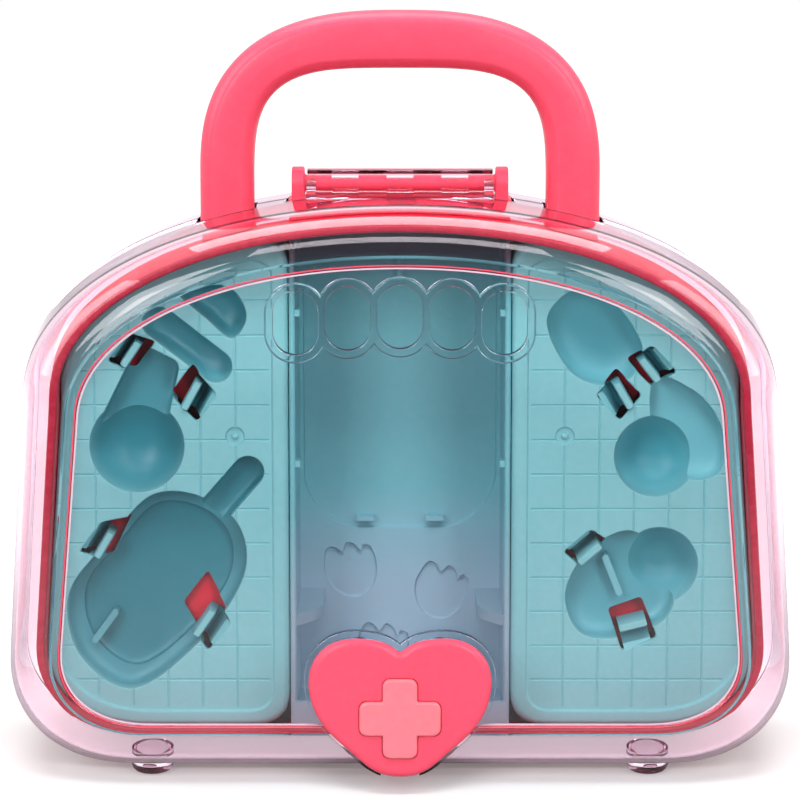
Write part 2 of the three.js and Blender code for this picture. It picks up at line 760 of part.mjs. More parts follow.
// One half of the handle, split front and back, as a loft of half sections along the arch.
function handleHalf(direction) {
  const base = SPRING_HEIGHT + 40;
  const near = TOUCH_GAP / 2;
  const deep = HANDLE_HALF_DEPTH;
  const r = HANDLE_ROUND;
  const section = [[0, near], [0, deep - r], [r * 0.3, deep - r * 0.3], [r, deep]];
  const rings = [];
  const addRing = (outer, inner) => {
    const width = outer.distanceTo(inner);
    const across = outer.clone().sub(inner).divideScalar(width);
    const all = [...section.map(([u, v]) => [u, v]),
      ...section.slice().reverse().map(([u, v]) => [width - u, v])];
    rings.push(all.map(([u, v]) => new THREE.Vector3(
      inner.x + across.x * u, v * direction, inner.y + across.y * u)));
  };
  addRing(new THREE.Vector2(-HANDLE_HALF_SPAN, base), new THREE.Vector2(-GRIP_HALF_SPAN, base));
  for (let i = 0; i <= HANDLE_STEPS; i += 1) {
    const angle = Math.PI * (i / HANDLE_STEPS - 0.5) * 0.99999;
    addRing(
      archOffset(HANDLE_HALF_SPAN, handleTop, HANDLE_RISE, HANDLE_POWER, angle),
      archOffset(GRIP_HALF_SPAN, gripTop, GRIP_RISE, GRIP_POWER, angle));
  }
  addRing(new THREE.Vector2(HANDLE_HALF_SPAN, base), new THREE.Vector2(GRIP_HALF_SPAN, base));
  const half = loft(rings).subtract(coreEnvelope());
  const shank = SCREW_SHANK_RADIUS + TOUCH_GAP;
  const head = SCREW_HEAD_RADIUS + TOUCH_GAP;
  const cut = [1, -1].map((side) => {
    const x = side * handleScrewX;
    const hole = roundAlongY(shank, x, handleScrewHeight, -HANDLE_SCREW_BITE - 1, deep + 1, 10);
    const seat = roundAlongY(head, x, handleScrewHeight, deep - SCREW_HEAD_DEPTH, deep + 1);
    return hole.add(seat);
  });
  return half.subtract(join(cut));
}

// Hinge

function arcPoints(y, z, radius, from, to, steps) {
  const points = [];
  for (let i = 0; i <= steps; i += 1) {
    const angle = radians(from + (to - from) * i / steps);
    points.push(new THREE.Vector2(y + radius * Math.cos(angle), z + radius * Math.sin(angle)));
  }
  return points;
}

const gutterInner = ROD_RADIUS + PIN_GAP;
const gutterOuter = gutterInner + GUTTER_WALL;
const gutterHalf = EAR_INSIDE - SWING_GAP;
const bracketTop = hingeHeight - gutterOuter - BRACKET_GAP;

function hingeBracket() {
  const base = block(-bracketHalfWidth, bracketHalfWidth, BRACKET_FRONT, BRACKET_BACK,
    CASE_TOP - CORE_GAP - 8, bracketTop);
  const earSection = [
    ...arcPoints(0, hingeHeight, EAR_RADIUS, -8, 188, 12),
    new THREE.Vector2(BRACKET_FRONT - 0.5, bracketTop - 2),
    new THREE.Vector2(BRACKET_BACK - 1, bracketTop - 2),
  ];
  const solids = [base.subtract(coreEnvelope())];
  for (const side of [1, -1]) {
    const inside = side * EAR_INSIDE;
    const outside = side * (EAR_INSIDE + EAR_THICKNESS);
    solids.push(bar(earSection, Math.min(inside, outside), Math.max(inside, outside)));
  }
  solids.push(roundAlongX(ROD_RADIUS, 0, hingeHeight, -EAR_INSIDE - 1, EAR_INSIDE + 1));
  return join(solids);
}

// The part of the lid that clips over the rod: a C-shaped gutter, open to the front, on a flange.
function clipStrip() {
  const mouthTop = 180 - GUTTER_MOUTH_ANGLE;
  const mouthLow = -180 + GUTTER_MOUTH_ANGLE;
  const gutter = [
    ...arcPoints(0, hingeHeight, gutterOuter, mouthLow, mouthTop, 14),
    ...arcPoints(0, hingeHeight, gutterInner, mouthTop, mouthLow, 12),
  ];
  const lipRise = gutterInner * Math.sin(radians(GUTTER_MOUTH_ANGLE));
  const shelfTop = hingeHeight - lipRise;
  const lipTop = hingeHeight + lipRise;
  const low = hingeHeight - gutterOuter;
  const wallTop = CASE_TOP - WALL_DRAFT;
  const flange = pointsXZ([
    [-FLANGE_REACH, wallTop - 1], [-gutterOuter - SWING_GAP, low], [-1.2, low],
    [-1.2, shelfTop - 0.6], [-gutterInner, shelfTop], [-gutterOuter, shelfTop],
    [-FLANGE_REACH, wallTop + 0.6],
  ]);
  const gusset = pointsXZ([
    [-FLANGE_REACH, wallTop - 1], [-gutterOuter - SWING_GAP, low], [-3.4, low],
    [-3.4, lipTop], [-gutterOuter, lipTop], [-FLANGE_REACH, wallTop + 0.7],
  ]);
  const solids = [bar(gutter, -gutterHalf, gutterHalf), bar(flange, -gutterHalf, gutterHalf)];
  for (const side of [1, -1]) {
    const outside = side * gutterHalf;
    const inside = side * (gutterHalf - GUSSET_THICKNESS);
    solids.push(bar(gusset, Math.min(inside, outside), Math.max(inside, outside)));
  }
  const tabBack = 0.2 - gutterInner * Math.cos(radians(GUTTER_MOUTH_ANGLE));
  const tabFront = -gutterOuter - 0.2;
  for (const step of [-1, 0, 1]) {
    const left = step * LIP_TAB_PITCH - LIP_TAB_WIDTH / 2;
    const right = left + LIP_TAB_WIDTH;
    solids.push(block(left, right, tabFront, tabBack, lipTop - LIP_TAB_DROP, lipTop + 1.2));
    solids.push(block(left, right, tabFront, tabBack, shelfTop - 1, shelfTop + LIP_TAB_DROP));
  }
  const rodRoom = roundAlongX(gutterInner, 0, hingeHeight, -gutterHalf - 1, gutterHalf + 1, 24);
  return join(solids).subtract(rodRoom);
}

// Tool trays

// The left tray's outline, stepped in by a margin: it follows the tub and rounds off at the bay.
function trayOutline(margin, y) {
  const [[inset]] = coreInside(TOUCH_GAP, y, coreBackFace);
  const outline = caseOutline(inset + margin);
  const inner = BAY_HALF_WIDTH + TOUCH_GAP + margin;
  const corner = TRAY_CORNER - margin * 0.6;
  const start = Math.asin(((inner + corner) / outline.springHalf) ** (ARCH_POWER / 2));
  const points = [];
  const topZ = archHeight(outline, inner + corner);
  const topCorner = new THREE.QuadraticBezierCurve(
    new THREE.Vector2(inner, topZ - corner * 0.75), new THREE.Vector2(inner, topZ + 1),
    new THREE.Vector2(inner + corner, topZ));
  points.push(...topCorner.getPoints(4).slice(0, -1));
  for (let i = 0; i <= ARCH_STEPS - 3; i += 1) {
    const angle = start + (Math.PI / 2 - start) * Math.min(i / (ARCH_STEPS - 3), 0.99999);
    points.push(new THREE.Vector2(...archPoint(outline, angle)));
  }
  for (let i = 0; i <= CORNER_STEPS; i += 1) {
    const angle = Math.PI / 2 * Math.min(i / CORNER_STEPS, 0.99999);
    points.push(new THREE.Vector2(...cornerPoint(outline, angle)));
  }
  const lowCorner = new THREE.QuadraticBezierCurve(
    new THREE.Vector2(inner + corner, outline.bottom), new THREE.Vector2(inner, outline.bottom),
    new THREE.Vector2(inner, outline.bottom + corner));
  points.push(...lowCorner.getPoints(4));
  return points.map((p) => new THREE.Vector2(-p.x, p.y));
}

function trayRing(margin, y) {
  return trayOutline(margin, y).map((p) => new THREE.Vector3(p.x, y, p.y));
}

function trayBlank() {
  const back = coreBackFace - TOUCH_GAP;
  const turn = backRoundStart - CORE_WALL;
  const plateBack = trayFront + TRAY_PLATE;
  const corner = CORE_BACK_ROUND * (back - turn) / (coreBackFace - turn);
  const outside = loft([trayRing(0, trayFront), trayRing(0, turn), trayRing(corner, back)]);
  const inside = loft([
    trayRing(TRAY_WALL, plateBack), trayRing(TRAY_WALL, turn), trayRing(corner + TRAY_WALL, back + 1),
  ]);
  const beadFront = trayFront - BEAD_RISE;
  const bead = loft([
    trayRing(0.2, trayFront + 0.5), trayRing(0.2, trayFront), trayRing(BEAD_SLOPE, beadFront),
  ]);
  const beadInside = loft([
    trayRing(BEAD_WIDTH - BEAD_SLOPE, beadFront - 0.5),
    trayRing(BEAD_WIDTH - BEAD_SLOPE, beadFront), trayRing(BEAD_WIDTH, trayFront),
    trayRing(BEAD_WIDTH, trayFront + 1),
  ]);
  return outside.subtract(inside).add(bead.subtract(beadInside));
}

// Places on a tray are measured from its middle, so its pockets stay with its edges.
const trayMiddle = (BAY_HALF_WIDTH + TOUCH_GAP + CASE_HALF_WIDTH_SPRING) / 2;
const trayLevel = (CASE_BOTTOM + CASE_TOP) / 2;

// A pocket is a list of outlines with depths. Its cup is the same outlines, one wall larger.
function withPockets(blank, pockets) {
  const back = (depth) => trayFront + depth;
  const cups = pockets.map(([outline, depth]) =>
    prism(grown(outline, TRAY_WALL), trayFront + 0.5, back(depth) + TRAY_WALL));
  const rooms = pockets.map(([outline, depth]) =>
    prism(outline, trayFront - BEAD_RISE - 1, back(depth)));
  return blank.add(join(cups)).subtract(join(rooms));
}

// A clip is a slot through the tray with a springy prong that stands in it on a narrow bridge.
function withClips(tray, clips) {
  const floor = trayFront + POCKET_DEPTH;
  let result = tray;
  for (const { corners, prong } of clips) {
    const outline = counterClockwise(pointsXZ(corners));
    const [[x1, z1], [x2, z2]] = prong;
    const reach = new THREE.Vector2(x2 - x1, z2 - z1).multiplyScalar(0.45);
    const bridge = stadium(x1 - reach.x, z1 - reach.y, x2 + reach.x, z2 + reach.y,
      PRONG_WIDTH / 2 + 0.4, 3);
    const blade = stadium(x1, z1, x2, z2, PRONG_WIDTH / 2, 3);
    result = result
      .subtract(prism(outline, trayFront - 2, floor + TRAY_WALL + 6))
      .add(prism(bridge, floor + 0.25, floor + TRAY_WALL - 0.25))
      .add(prism(blade, trayFront - PRONG_RISE, floor + TRAY_WALL / 2));
  }
  return result;
}

function withNub(tray, x, z) {
  return tray
    .subtract(roundAlongY(DIMPLE_RADIUS, x, z, trayFront - 1, trayFront + 0.8, 16))
    .add(roundAlongY(NUB_RADIUS, x, z, trayFront - 0.4, trayFront + 1.2, 10));
}

function leftToolTray() {
  const bottle = smooth([[-1.8, -6.5], [-16.4, -22], [-29.8, -40], [-26.4, -61.1], [-8.4, -72.4],
    [14.6, -55], [28.4, -34], [27.1, -17], [14.6, -7]], 24);
  const pockets = [
    [smooth([[7.6, 62.5], [23.6, 63.5], [30, 54], [25.3, 46.2], [17.1, 52.6]]),
      POCKET_DEPTH],
    [stadium(1.1, 51.5, 19.8, 36.8, 5.4), POCKET_DEPTH],
    [counterClockwise(pointsXZ([[-5.4, 45], [8.1, 38], [3.6, 18], [-19.9, 16]])),
      POCKET_DEPTH],
    [circle(-6.5, 10.2, 15.6), BOWL_DEPTH],
    [stadium(30.2, 1.4, 18.6, -12, 5.3), POCKET_DEPTH],
    [bottle, POCKET_DEPTH],
    [grown(bottle, -BOTTLE_SHELF), POCKET_DEPTH + BOTTLE_STEP],
  ];
  const clips = [
    { corners: [[-8.3, 47.9], [0.2, 45.2], [-7.2, 35.2], [-16, 38.5]],
      prong: [[-5.7, 44.5], [-10.4, 37.5]] },
    { corners: [[11.7, 37.2], [20.1, 27.5], [13.4, 18.1], [4.6, 27.5]],
      prong: [[13.9, 31.2], [9.5, 23.2]] },
    { corners: [[-18.8, -15.6], [-26.3, -25.8], [-15.9, -28.5], [-8.8, -13.6]],
      prong: [[-15.6, -19.4], [-20, -26.9]] },
    { corners: [[15.9, -34.4], [7.4, -45.3], [16.3, -59.7], [24.1, -50.1]],
      prong: [[17.8, -46], [12.7, -53.5]] },
  ];
  const floor = trayFront + POCKET_DEPTH + BOTTLE_STEP;
  const fin = prism(stadium(-15, -47.7, -21.8, -57, 1.1, 3), floor - 7, floor + 0.8);
  const blank = trayBlank().translate([trayMiddle, 0, -trayLevel]);
  const tray = withPockets(blank, pockets).add(fin);
  return withNub(withClips(tray, clips), 26, 13.4).translate([-trayMiddle, 0, trayLevel]);
}

function rightToolTray() {
  const pockets = [
    [smooth([[-32.2, 52.2], [-22.8, 62.4], [-9.9, 57.4], [-0.9, 43.5], [-4.1, 33.5],
      [-14.2, 30.5], [-25.1, 36]]), POCKET_DEPTH],
    [smooth([[3.4, 33], [15.5, 29.2], [23.2, 21.5], [27.2, 10.5], [24.4, 0.5], [13.4, 0],
      [3.4, 14]]), POCKET_DEPTH - 3],
    [circle(3.9, 6.7, 13.5), BOWL_DEPTH],
    [smooth([[-6.7, -18.7], [-18.6, -26], [-25.4, -40], [-20.6, -53], [-7.6, -55], [7.4, -49],
      [10.4, -38], [1.4, -22]]), POCKET_DEPTH],
    [circle(5.7, -30.3, 12.9), BOWL_DEPTH],
  ];
  const clips = [
    { corners: [[2.4, 43.9], [10.8, 34.9], [2.6, 29.9], [-5.4, 38.2]],
      prong: [[-0.8, 38.9], [4.2, 32.5]] },
    { corners: [[-8.7, 35.2], [-0.7, 27.2], [-7.8, 18.5], [-15.9, 27.2]],
      prong: [[-9, 30.9], [-4.6, 23.5]] },
    { corners: [[-17.1, -18], [-11, -22.1], [-19.6, -31.3], [-26.3, -25.8]],
      prong: [[-14.3, -23.5], [-20.6, -28.9]] },
    { corners: [[-10.7, -47], [0.6, -42.9], [5.4, -54.9], [-6.3, -59.7]],
      prong: [[-7, -51.5], [1.3, -49.4]] },
  ];
  const floor = trayFront + POCKET_DEPTH;
  const rib = prism(stadium(-11.9, -28.6, -7.2, -40.4, 1.1, 3), floor - 7, floor + 0.8);
  const blank = trayBlank().mirror([1, 0, 0]).translate([-trayMiddle, 0, -trayLevel]);
  const tray = withPockets(blank, pockets).add(rib);
  return withNub(withClips(tray, clips), -26, 13.4).translate([trayMiddle, 0, trayLevel]);
}

// Pet bay

function bayOutline(margin, y) {
  const [[inset]] = coreInside(TOUCH_GAP, y, coreBackFace);
  const outline = caseOutline(inset + margin);
  const half = BAY_HALF_WIDTH - margin;
  const points = [[-half, outline.bottom], [half, outline.bottom]];
  const steps = 8;
  for (let i = 0; i <= steps; i += 1) {
    const x = half * (1 - 2 * i / steps);
    points.push([x, archHeight(outline, x)]);
  }
  return pointsXZ(points);
}

function bayRing(margin, y) {
  return bayOutline(margin, y).map((p) => new THREE.Vector3(p.x, y, p.y));
}

// A footprint: a pad that widens upwards and ends in three small toes.
function footprint(x, z, tilt, front, back) {
  const knots = [[0, -10.2], [4.6, -8.6], [7.7, -4.6], [8.9, 0.6], [8, 6.4], [5.8, 7.2],
    [4.6, 5.6], [3, 8.2], [0.4, 9.2], [-1.6, 6.6], [-3.8, 8.8], [-6.6, 8.8], [-8.4, 5],
    [-9.2, 0.2], [-7.6, -5.2], [-4.2, -8.8]];
  const centre = new THREE.Vector2();
  const place = new THREE.Vector2(x, z);
  const outline = smooth(knots, 32).map((p) => p.rotateAround(centre, radians(tilt)).add(place));
  return prism(outline, front, back);
}

const bayBackOuter = coreBackFace - TOUCH_GAP;
const bayBackFace = bayBackOuter - BAY_BACK_WALL;

function bayLiner() {
  const turn = backRoundStart - CORE_WALL;
  const corner = CORE_BACK_ROUND * (bayBackOuter - turn) / (coreBackFace - turn);
  const ringAt = (margin, y, extra) => {
    const outline = caseOutline(CORE_GAP + CORE_WALL + TOUCH_GAP + margin + extra);
    const half = BAY_HALF_WIDTH - margin;
    const points = [[-half, outline.bottom], [half, outline.bottom]];
    for (let i = 0; i <= 8; i += 1) {
      const x = half * (1 - i / 4);
      points.push([x, archHeight(outline, x)]);
    }
    return points.map(([x, z]) => new THREE.Vector3(x, y, z));
  };
  const outside = loft([
    bayRing(0, trayFront), ringAt(0, 0, 0), ringAt(0, turn, 0), ringAt(0, bayBackOuter, corner),
  ]);
  const inside = loft([
    bayRing(BAY_WALL, trayFront - 1), ringAt(BAY_WALL, 0, 0),
    ringAt(BAY_WALL, turn, 0), ringAt(BAY_WALL, bayBackFace, corner),
  ]);
  const recessTop = archHeight(caseOutline(CORE_GAP + CORE_WALL + BAY_WALL + corner), 0);
  const recessHalf = BAY_HALF_WIDTH - BAY_WALL - RECESS_MARGIN;
  const recess = prism(
    roundedBox(recessHalf, RECESS_BOTTOM, recessTop - RECESS_TOP_MARGIN, RECESS_CORNER),
    bayBackFace - 1, bayBackFace + RECESS_DEPTH);
  const recessFace = bayBackFace + RECESS_DEPTH;
  const solids = [];
  const side = BAY_HALF_WIDTH - BAY_WALL + 0.5;
  const floor = CASE_BOTTOM + (CORE_GAP + CORE_WALL + TOUCH_GAP) * BOTTOM_RATE;
  for (const hand of [1, -1]) {
    const span = (a, b) => [Math.min(hand * a, hand * b), Math.max(hand * a, hand * b)];
    const reach = side - LEDGE_REACH;
    const ledge = [[side, bayBackFace + 0.5], [side, LEDGE_FRONT],
      [side - LEDGE_REACH * 0.4, LEDGE_FRONT + 4], [reach + 1.6, LEDGE_TIP - 5],
      [reach, LEDGE_TIP], [reach, bayBackFace + 0.5]].map(([x, y]) => [hand * x, y]);
    solids.push(slab(ledge, LEDGE_TOP - LEDGE_THICKNESS, LEDGE_TOP));
    solids.push(block(...span(TAB_CENTRE - TAB_WIDTH / 2, TAB_CENTRE + TAB_WIDTH / 2),
      bayBackFace - 1, recessFace + 0.5, RECESS_BOTTOM + 2.5, RECESS_BOTTOM + 2.5 + TAB_HEIGHT));
    for (const z of SIDE_RIB_HEIGHTS) {
      solids.push(block(...span(side - 0.5 - SIDE_RIB_DEPTH, side), trayFront + 0.6,
        trayFront + 6, z - SIDE_RIB_HEIGHT / 2, z + SIDE_RIB_HEIGHT / 2));
    }
  }
  solids.push(block(-side, side, trayFront, trayFront + 2, floor + 1, FLOOR_LIP_TOP));
  solids.push(block(-PEG_WIDTH / 2, PEG_WIDTH / 2, recessFace - PEG_RISE, recessFace + 0.5,
    recessTop - RECESS_TOP_MARGIN - PEG_HEIGHT, recessTop - RECESS_TOP_MARGIN + 0.5));
  const prints = [[-16.9, 56, 14], [14.3, 48.2, -14], [-6, 27, -4]].map(([x, z, tilt]) =>
    footprint(x, z, tilt, bayBackFace - 1, bayBackFace + PRINT_DEPTH));
  return outside.subtract(inside).subtract(recess).subtract(join(prints)).add(join(solids));
}

// Latch

const armTop = catchBottom - SWING_GAP - BARB_RISE;
const barbFront = coreFront + CATCH_DEPTH + TOUCH_GAP;
const barbBack = barbFront + BARB_LENGTH;

function heartLatch() {
  const plate = loft([
    heartRing(0, heartBack), heartRing(0, heartFront + HEART_ROUND),
    heartRing(-HEART_ROUND * 0.35, heartFront + HEART_ROUND * 0.35),
    heartRing(-HEART_ROUND, heartFront),
  ]);
  const slope = Math.tan(radians(LATCH_RANGE));
  const relief = bar(pointsXZ([
    [heartBack + 1, pinHeight], [heartBack, pinHeight],
    [heartBack - (HEART_TOP + 4 - pinHeight) * slope, HEART_TOP + 4],
    [heartBack + 1, HEART_TOP + 4],
  ]), -HEART_HALF_WIDTH - 5, HEART_HALF_WIDTH + 5);
  const lug = bar([
    ...arcPoints(pinY, pinHeight, LUG_RADIUS, -90, 90, 6),
    new THREE.Vector2(heartBack - 1.2, pinHeight + LUG_RADIUS),
    new THREE.Vector2(heartBack - 1.2, pinHeight - LUG_RADIUS),
  ], -LUG_HALF_WIDTH, LUG_HALF_WIDTH);
  const knee = (heartBack + barbFront) / 2;
  const arm = bar(pointsXZ([
    [heartBack - 1.2, ARM_ROOT_HEIGHT - 5], [heartBack + 1, ARM_ROOT_HEIGHT - 5],
    [knee, armTop - ARM_THICKNESS], [barbBack, armTop - ARM_THICKNESS],
    [barbBack, armTop], [barbFront + 0.9, armTop + BARB_RISE], [barbFront, armTop + BARB_RISE],
    [barbFront, armTop], [knee + 1, armTop], [heartBack + 1, ARM_ROOT_HEIGHT],
    [heartBack - 1.2, ARM_ROOT_HEIGHT],
  ]), -ARM_HALF_WIDTH, ARM_HALF_WIDTH);
  const seat = prism(crossOutline(TOUCH_GAP), heartFront - 1, heartFront + CROSS_SEAT);
  return plate.subtract(relief).subtract(seat)
    .add(lug)
    .add(arm)
    .subtract(roundAlongX(PIN_RADIUS + PIN_GAP, pinY, pinHeight, -LUG_HALF_WIDTH - 1,
      LUG_HALF_WIDTH + 1));
}

function latchCross() {
  const back = heartFront + CROSS_SEAT - TOUCH_GAP;
  const front = heartFront - CROSS_RISE;
  const ring = (margin, y) => crossOutline(margin).map((p) => new THREE.Vector3(p.x, y, p.y));
  return prism(crossOutline(0), front + 0.6, back)
    .add(loft([ring(0, front + 0.6), ring(-0.6, front)]));
}

// Assembly

const kit = new THREE.Group();
const lid = new THREE.Group();
const latch = new THREE.Group();
kit.add(lid);
lid.add(latch);

function place(group, name, solid, material) {
  const mesh = new THREE.Mesh(toGeometry(solid), material);
  mesh.name = name;
  group.add(mesh);
}

place(kit, 'core_tub', coreTub(), coral);
place(kit, 'rear_shell', rearShell(), clear);
place(kit, 'handle_front_half', handleHalf(-1), coral);
place(kit, 'handle_rear_half', handleHalf(1), coral);
for (const [side, hand] of [['left', -1], ['right', 1]]) {
  const solid = screw(hand * handleScrewX, handleScrewHeight, -HANDLE_SCREW_BITE,
    HANDLE_HALF_DEPTH);
  place(kit, `handle_screw_${side}`, solid, steel);
}
place(kit, 'hinge_bracket', hingeBracket(), coral);
place(kit, 'left_tool_tray', leftToolTray(), teal);
place(kit, 'right_tool_tray', rightToolTray(), teal);
place(kit, 'bay_liner', bayLiner(), teal);
place(kit, 'rear_left_foot', foot(-footSpread, FOOT_SETBACK), clear);
place(kit, 'rear_right_foot', foot(footSpread, FOOT_SETBACK), clear);
for (const [corner, x, z] of bossPlaces) {
  place(kit, `rear_screw_${corner}`, screw(x, z, rearInner - SCREW_BITE, REAR_DEPTH),
    steel);
}
place(lid, 'lid_shell', lidShell(), clear);
place(lid, 'front_left_foot', foot(-footSpread, -FOOT_SETBACK), clear);
place(lid, 'front_right_foot', foot(footSpread, -FOOT_SETBACK), clear);
place(lid, 'latch_pin', roundAlongX(PIN_RADIUS, pinY, pinHeight, -PIN_HALF_LENGTH,
  PIN_HALF_LENGTH), steel);
place(latch, 'heart_latch', heartLatch(), coral);
place(latch, 'latch_cross', latchCross(), palePink);

export default kit;
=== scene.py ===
# %% [markdown]
# # A toy vet carry case
# A clear plastic case hangs its lid on a coral hinge, under an arched coral handle. Inside it,
# a coral tub holds two teal tool trays and a pet bay, and a heart shuts the lid.
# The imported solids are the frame. They fix where every part is and how it moves. Each step
# below makes one part again with finer curves and a real finish, in the same place.

# %% Load the frame
import math
import bpy
import bmesh
import numpy as np
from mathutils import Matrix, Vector


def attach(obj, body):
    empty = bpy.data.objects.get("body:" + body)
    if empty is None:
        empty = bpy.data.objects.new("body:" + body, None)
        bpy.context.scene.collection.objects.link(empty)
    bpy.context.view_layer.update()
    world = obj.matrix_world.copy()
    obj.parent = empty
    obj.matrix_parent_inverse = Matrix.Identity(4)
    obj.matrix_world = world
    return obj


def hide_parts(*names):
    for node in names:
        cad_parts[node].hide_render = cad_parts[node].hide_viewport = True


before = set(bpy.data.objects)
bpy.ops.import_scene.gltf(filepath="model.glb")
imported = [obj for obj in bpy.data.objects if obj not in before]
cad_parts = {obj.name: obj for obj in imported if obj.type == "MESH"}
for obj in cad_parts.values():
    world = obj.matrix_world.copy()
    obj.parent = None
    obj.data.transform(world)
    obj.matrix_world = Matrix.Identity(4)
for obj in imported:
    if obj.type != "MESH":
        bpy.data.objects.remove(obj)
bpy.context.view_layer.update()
MM = 0.001

# %% [markdown]
# ## Camera
# The picture is taken from the front with a long lens, about ten degrees above the table.
# A long lens keeps the sides of the case nearly parallel, as they are in the picture.

# %% Camera
def placed(name, data, place=(0.0, 0.0, 0.0), target=None):
    """Puts a new object into the scene. A camera or a lamp also gets a point to face."""
    thing = bpy.data.objects.new(name, data)
    bpy.context.scene.collection.objects.link(thing)
    thing.location = place
    if target:
        aim = Vector(target) - Vector(place)
        thing.rotation_euler = aim.to_track_quat("-Z", "Y").to_euler()
    return thing


lens = bpy.data.cameras.new("front_camera")
lens.lens = 141.75
lens.sensor_width = 36
camera = placed("front_camera", lens, (0.0, -1.0356, 0.2953), (0.0, 0.0, 0.122))
bpy.context.scene.camera = camera
bpy.context.scene.view_settings.view_transform = "Standard"
print("camera is at", [round(c, 3) for c in camera.location])

# %% [markdown]
# ## Finishes
# Every plastic is a Principled shader. A mould leaves small waves, a fine grain and slight
# changes of colour, so noise on Object coordinates drives the bump, the roughness and the
# colour. Object coordinates stay fixed to the part, whatever its shape.

# %% A helper for finishes
def srgb(red, green, blue):
    """Turns a colour as seen on a screen into the linear colour that a shader takes."""
    channels = [c / 255 for c in (red, green, blue)]
    linear = [c / 12.92 if c <= 0.04045 else ((c + 0.055) / 1.055) ** 2.4 for c in channels]
    return (*linear, 1.0)


def new_finish(name):
    finish = bpy.data.materials.new(name)
    finish.use_nodes = True
    finish.node_tree.nodes.clear()
    return finish


def add_node(finish, kind, inputs=None, **settings):
    """Adds a node. An input is a number, a colour or the output of another node."""
    node = finish.node_tree.nodes.new(kind)
    for key, value in settings.items():
        setattr(node, key, value)
    for key, value in (inputs or {}).items():
        if isinstance(value, bpy.types.NodeSocket):
            finish.node_tree.links.new(value, node.inputs[key])
        else:
            node.inputs[key].default_value = value
    return node


def show(finish, surface, kind="ShaderNodeOutputMaterial", **other):
    add_node(finish, kind, {"Surface": surface, **other})
    return finish


def mix_colour(finish, first, second, share):
    return add_node(finish, "ShaderNodeMix", {"A": first, "B": second, "Factor": share},
                    data_type="RGBA").outputs["Result"]


def math_node(finish, operation, first, second):
    """Works one sum in the shader."""
    return add_node(finish, "ShaderNodeMath", {0: first, 1: second}, operation=operation).outputs[0]


def map_range(finish, value, start, end, low=0.0, high=1.0):
    """Turns the stretch from start to end into the stretch from low to high."""
    return add_node(finish, "ShaderNodeMapRange", {
        "Value": value, "From Min": start, "From Max": end, "To Min": low,
        "To Max": high}).outputs["Result"]


def noise_at(finish, scale, detail=3.0):
    """Noise fixed to the part: scale is the number of blobs in a metre."""
    place = add_node(finish, "ShaderNodeTexCoord").outputs["Object"]
    return add_node(finish, "ShaderNodeTexNoise", {
        "Vector": place, "Scale": scale, "Detail": detail}).outputs["Fac"]


def spread(finish, scale, low, high, detail=3.0):
    """Stretches noise from its usual 0.3 to 0.7 over the range from low to high."""
    return map_range(finish, noise_at(finish, scale, detail), 0.3, 0.7, low, high)


def bump_chain(finish, layers):
    """Stacks bumps of several sizes. A layer is (noise scale, depth in metres)."""
    below = {}
    for scale, depth in layers:
        bump = add_node(finish, "ShaderNodeBump", {
            "Strength": 0.6, "Distance": depth, "Height": noise_at(finish, scale), **below})
        below = {"Normal": bump.outputs["Normal"]}
    return below["Normal"]

# %% [markdown]
# ### Coloured mouldings
# The coral, the pale pink and the teal are the same kind of plastic, so one function makes
# them all. It blends two near shades with a slow noise, and a scuffed shade shows where a
# coarse noise is high. A moulding may also carry painted light and shade: between two planes
# its colour turns to another shade. Deep in a pocket that is a painted, fuller shade, for light
# that has met the same plastic several times.

# %% Coloured plastics
def along(finish, axis, start, end, low=0.0, high=1.0, space="Object"):
    """Goes from low to high between two planes. In Object space they are in metres."""
    place = add_node(finish, "ShaderNodeTexCoord").outputs[space]
    apart = add_node(finish, "ShaderNodeSeparateXYZ", {"Vector": place})
    return map_range(finish, apart.outputs[axis], start, end, low, high)


def moulded_plastic(name, shades, roughness=0.42, waves=0.03, grain=0.012, painted_shading=()):
    """shades are the plain, deeper and worn colour, and waves and grain are in millimetres.
    painted_shading is a list of (axis, start, end, shade): painted light and shade that turn
    the part to that shade from start to end."""
    finish = new_finish(name)
    plain, deeper, worn = (srgb(*shade) for shade in shades)
    colour = mix_colour(finish, plain, deeper, spread(finish, 18.0, 0.0, 1.0))
    colour = mix_colour(finish, colour, worn, spread(finish, 420.0, -0.15, 0.3, 6.0))
    # Painted light and shade: each band turns the colour to its painted tone between two planes.
    for axis, start, end, full in painted_shading:
        colour = mix_colour(finish, colour, srgb(*full), along(finish, axis, start, end))
    shell = add_node(finish, "ShaderNodeBsdfPrincipled", {
        "IOR": 1.49, "Specular IOR Level": 0.5, "Base Color": colour,
        "Roughness": spread(finish, 90.0, roughness - 0.04, roughness + 0.05, 4.0),
        "Normal": bump_chain(finish, [(35.0, waves * MM), (2600.0, grain * MM)])})
    return show(finish, shell.outputs["BSDF"])


coral = moulded_plastic(
    "coral_plastic", [(255, 80, 108), (254, 76, 105), (255, 92, 118)], 0.36, 0.02, 0.008)
# Behind its front rim the tub's inside is painted a fuller red: painted light, for light bounced
# between its red walls.
coral_grained = moulded_plastic(
    "coral_plastic_grained", [(204, 20, 62), (184, 12, 50), (238, 64, 98)], grain=0.07,
    painted_shading=[("Y", -0.0244, -0.0225, (232, 6, 50))])
pale_pink = moulded_plastic(
    "pale_pink_plastic", [(250, 126, 139), (248, 122, 136), (254, 140, 151)], 0.38, 0.02, 0.008)
TRAY_SHADES = [(137, 210, 216), (132, 206, 213), (149, 217, 222)]
# Both trays turn to a painted, darker teal with depth behind the panel's front and down into their
# pockets: painted shade, darker on the left tray than on the right.
left_teal = moulded_plastic("teal_plastic_left", TRAY_SHADES, painted_shading=[
    ("Y", -0.0085, -0.0015, (76, 158, 171)), ("Y", -0.0015, 0.003, (42, 134, 148))])
right_teal = moulded_plastic("teal_plastic_right", TRAY_SHADES, painted_shading=[
    ("Y", -0.0085, -0.0015, (104, 188, 200)), ("Y", -0.0015, 0.003, (60, 156, 170))])
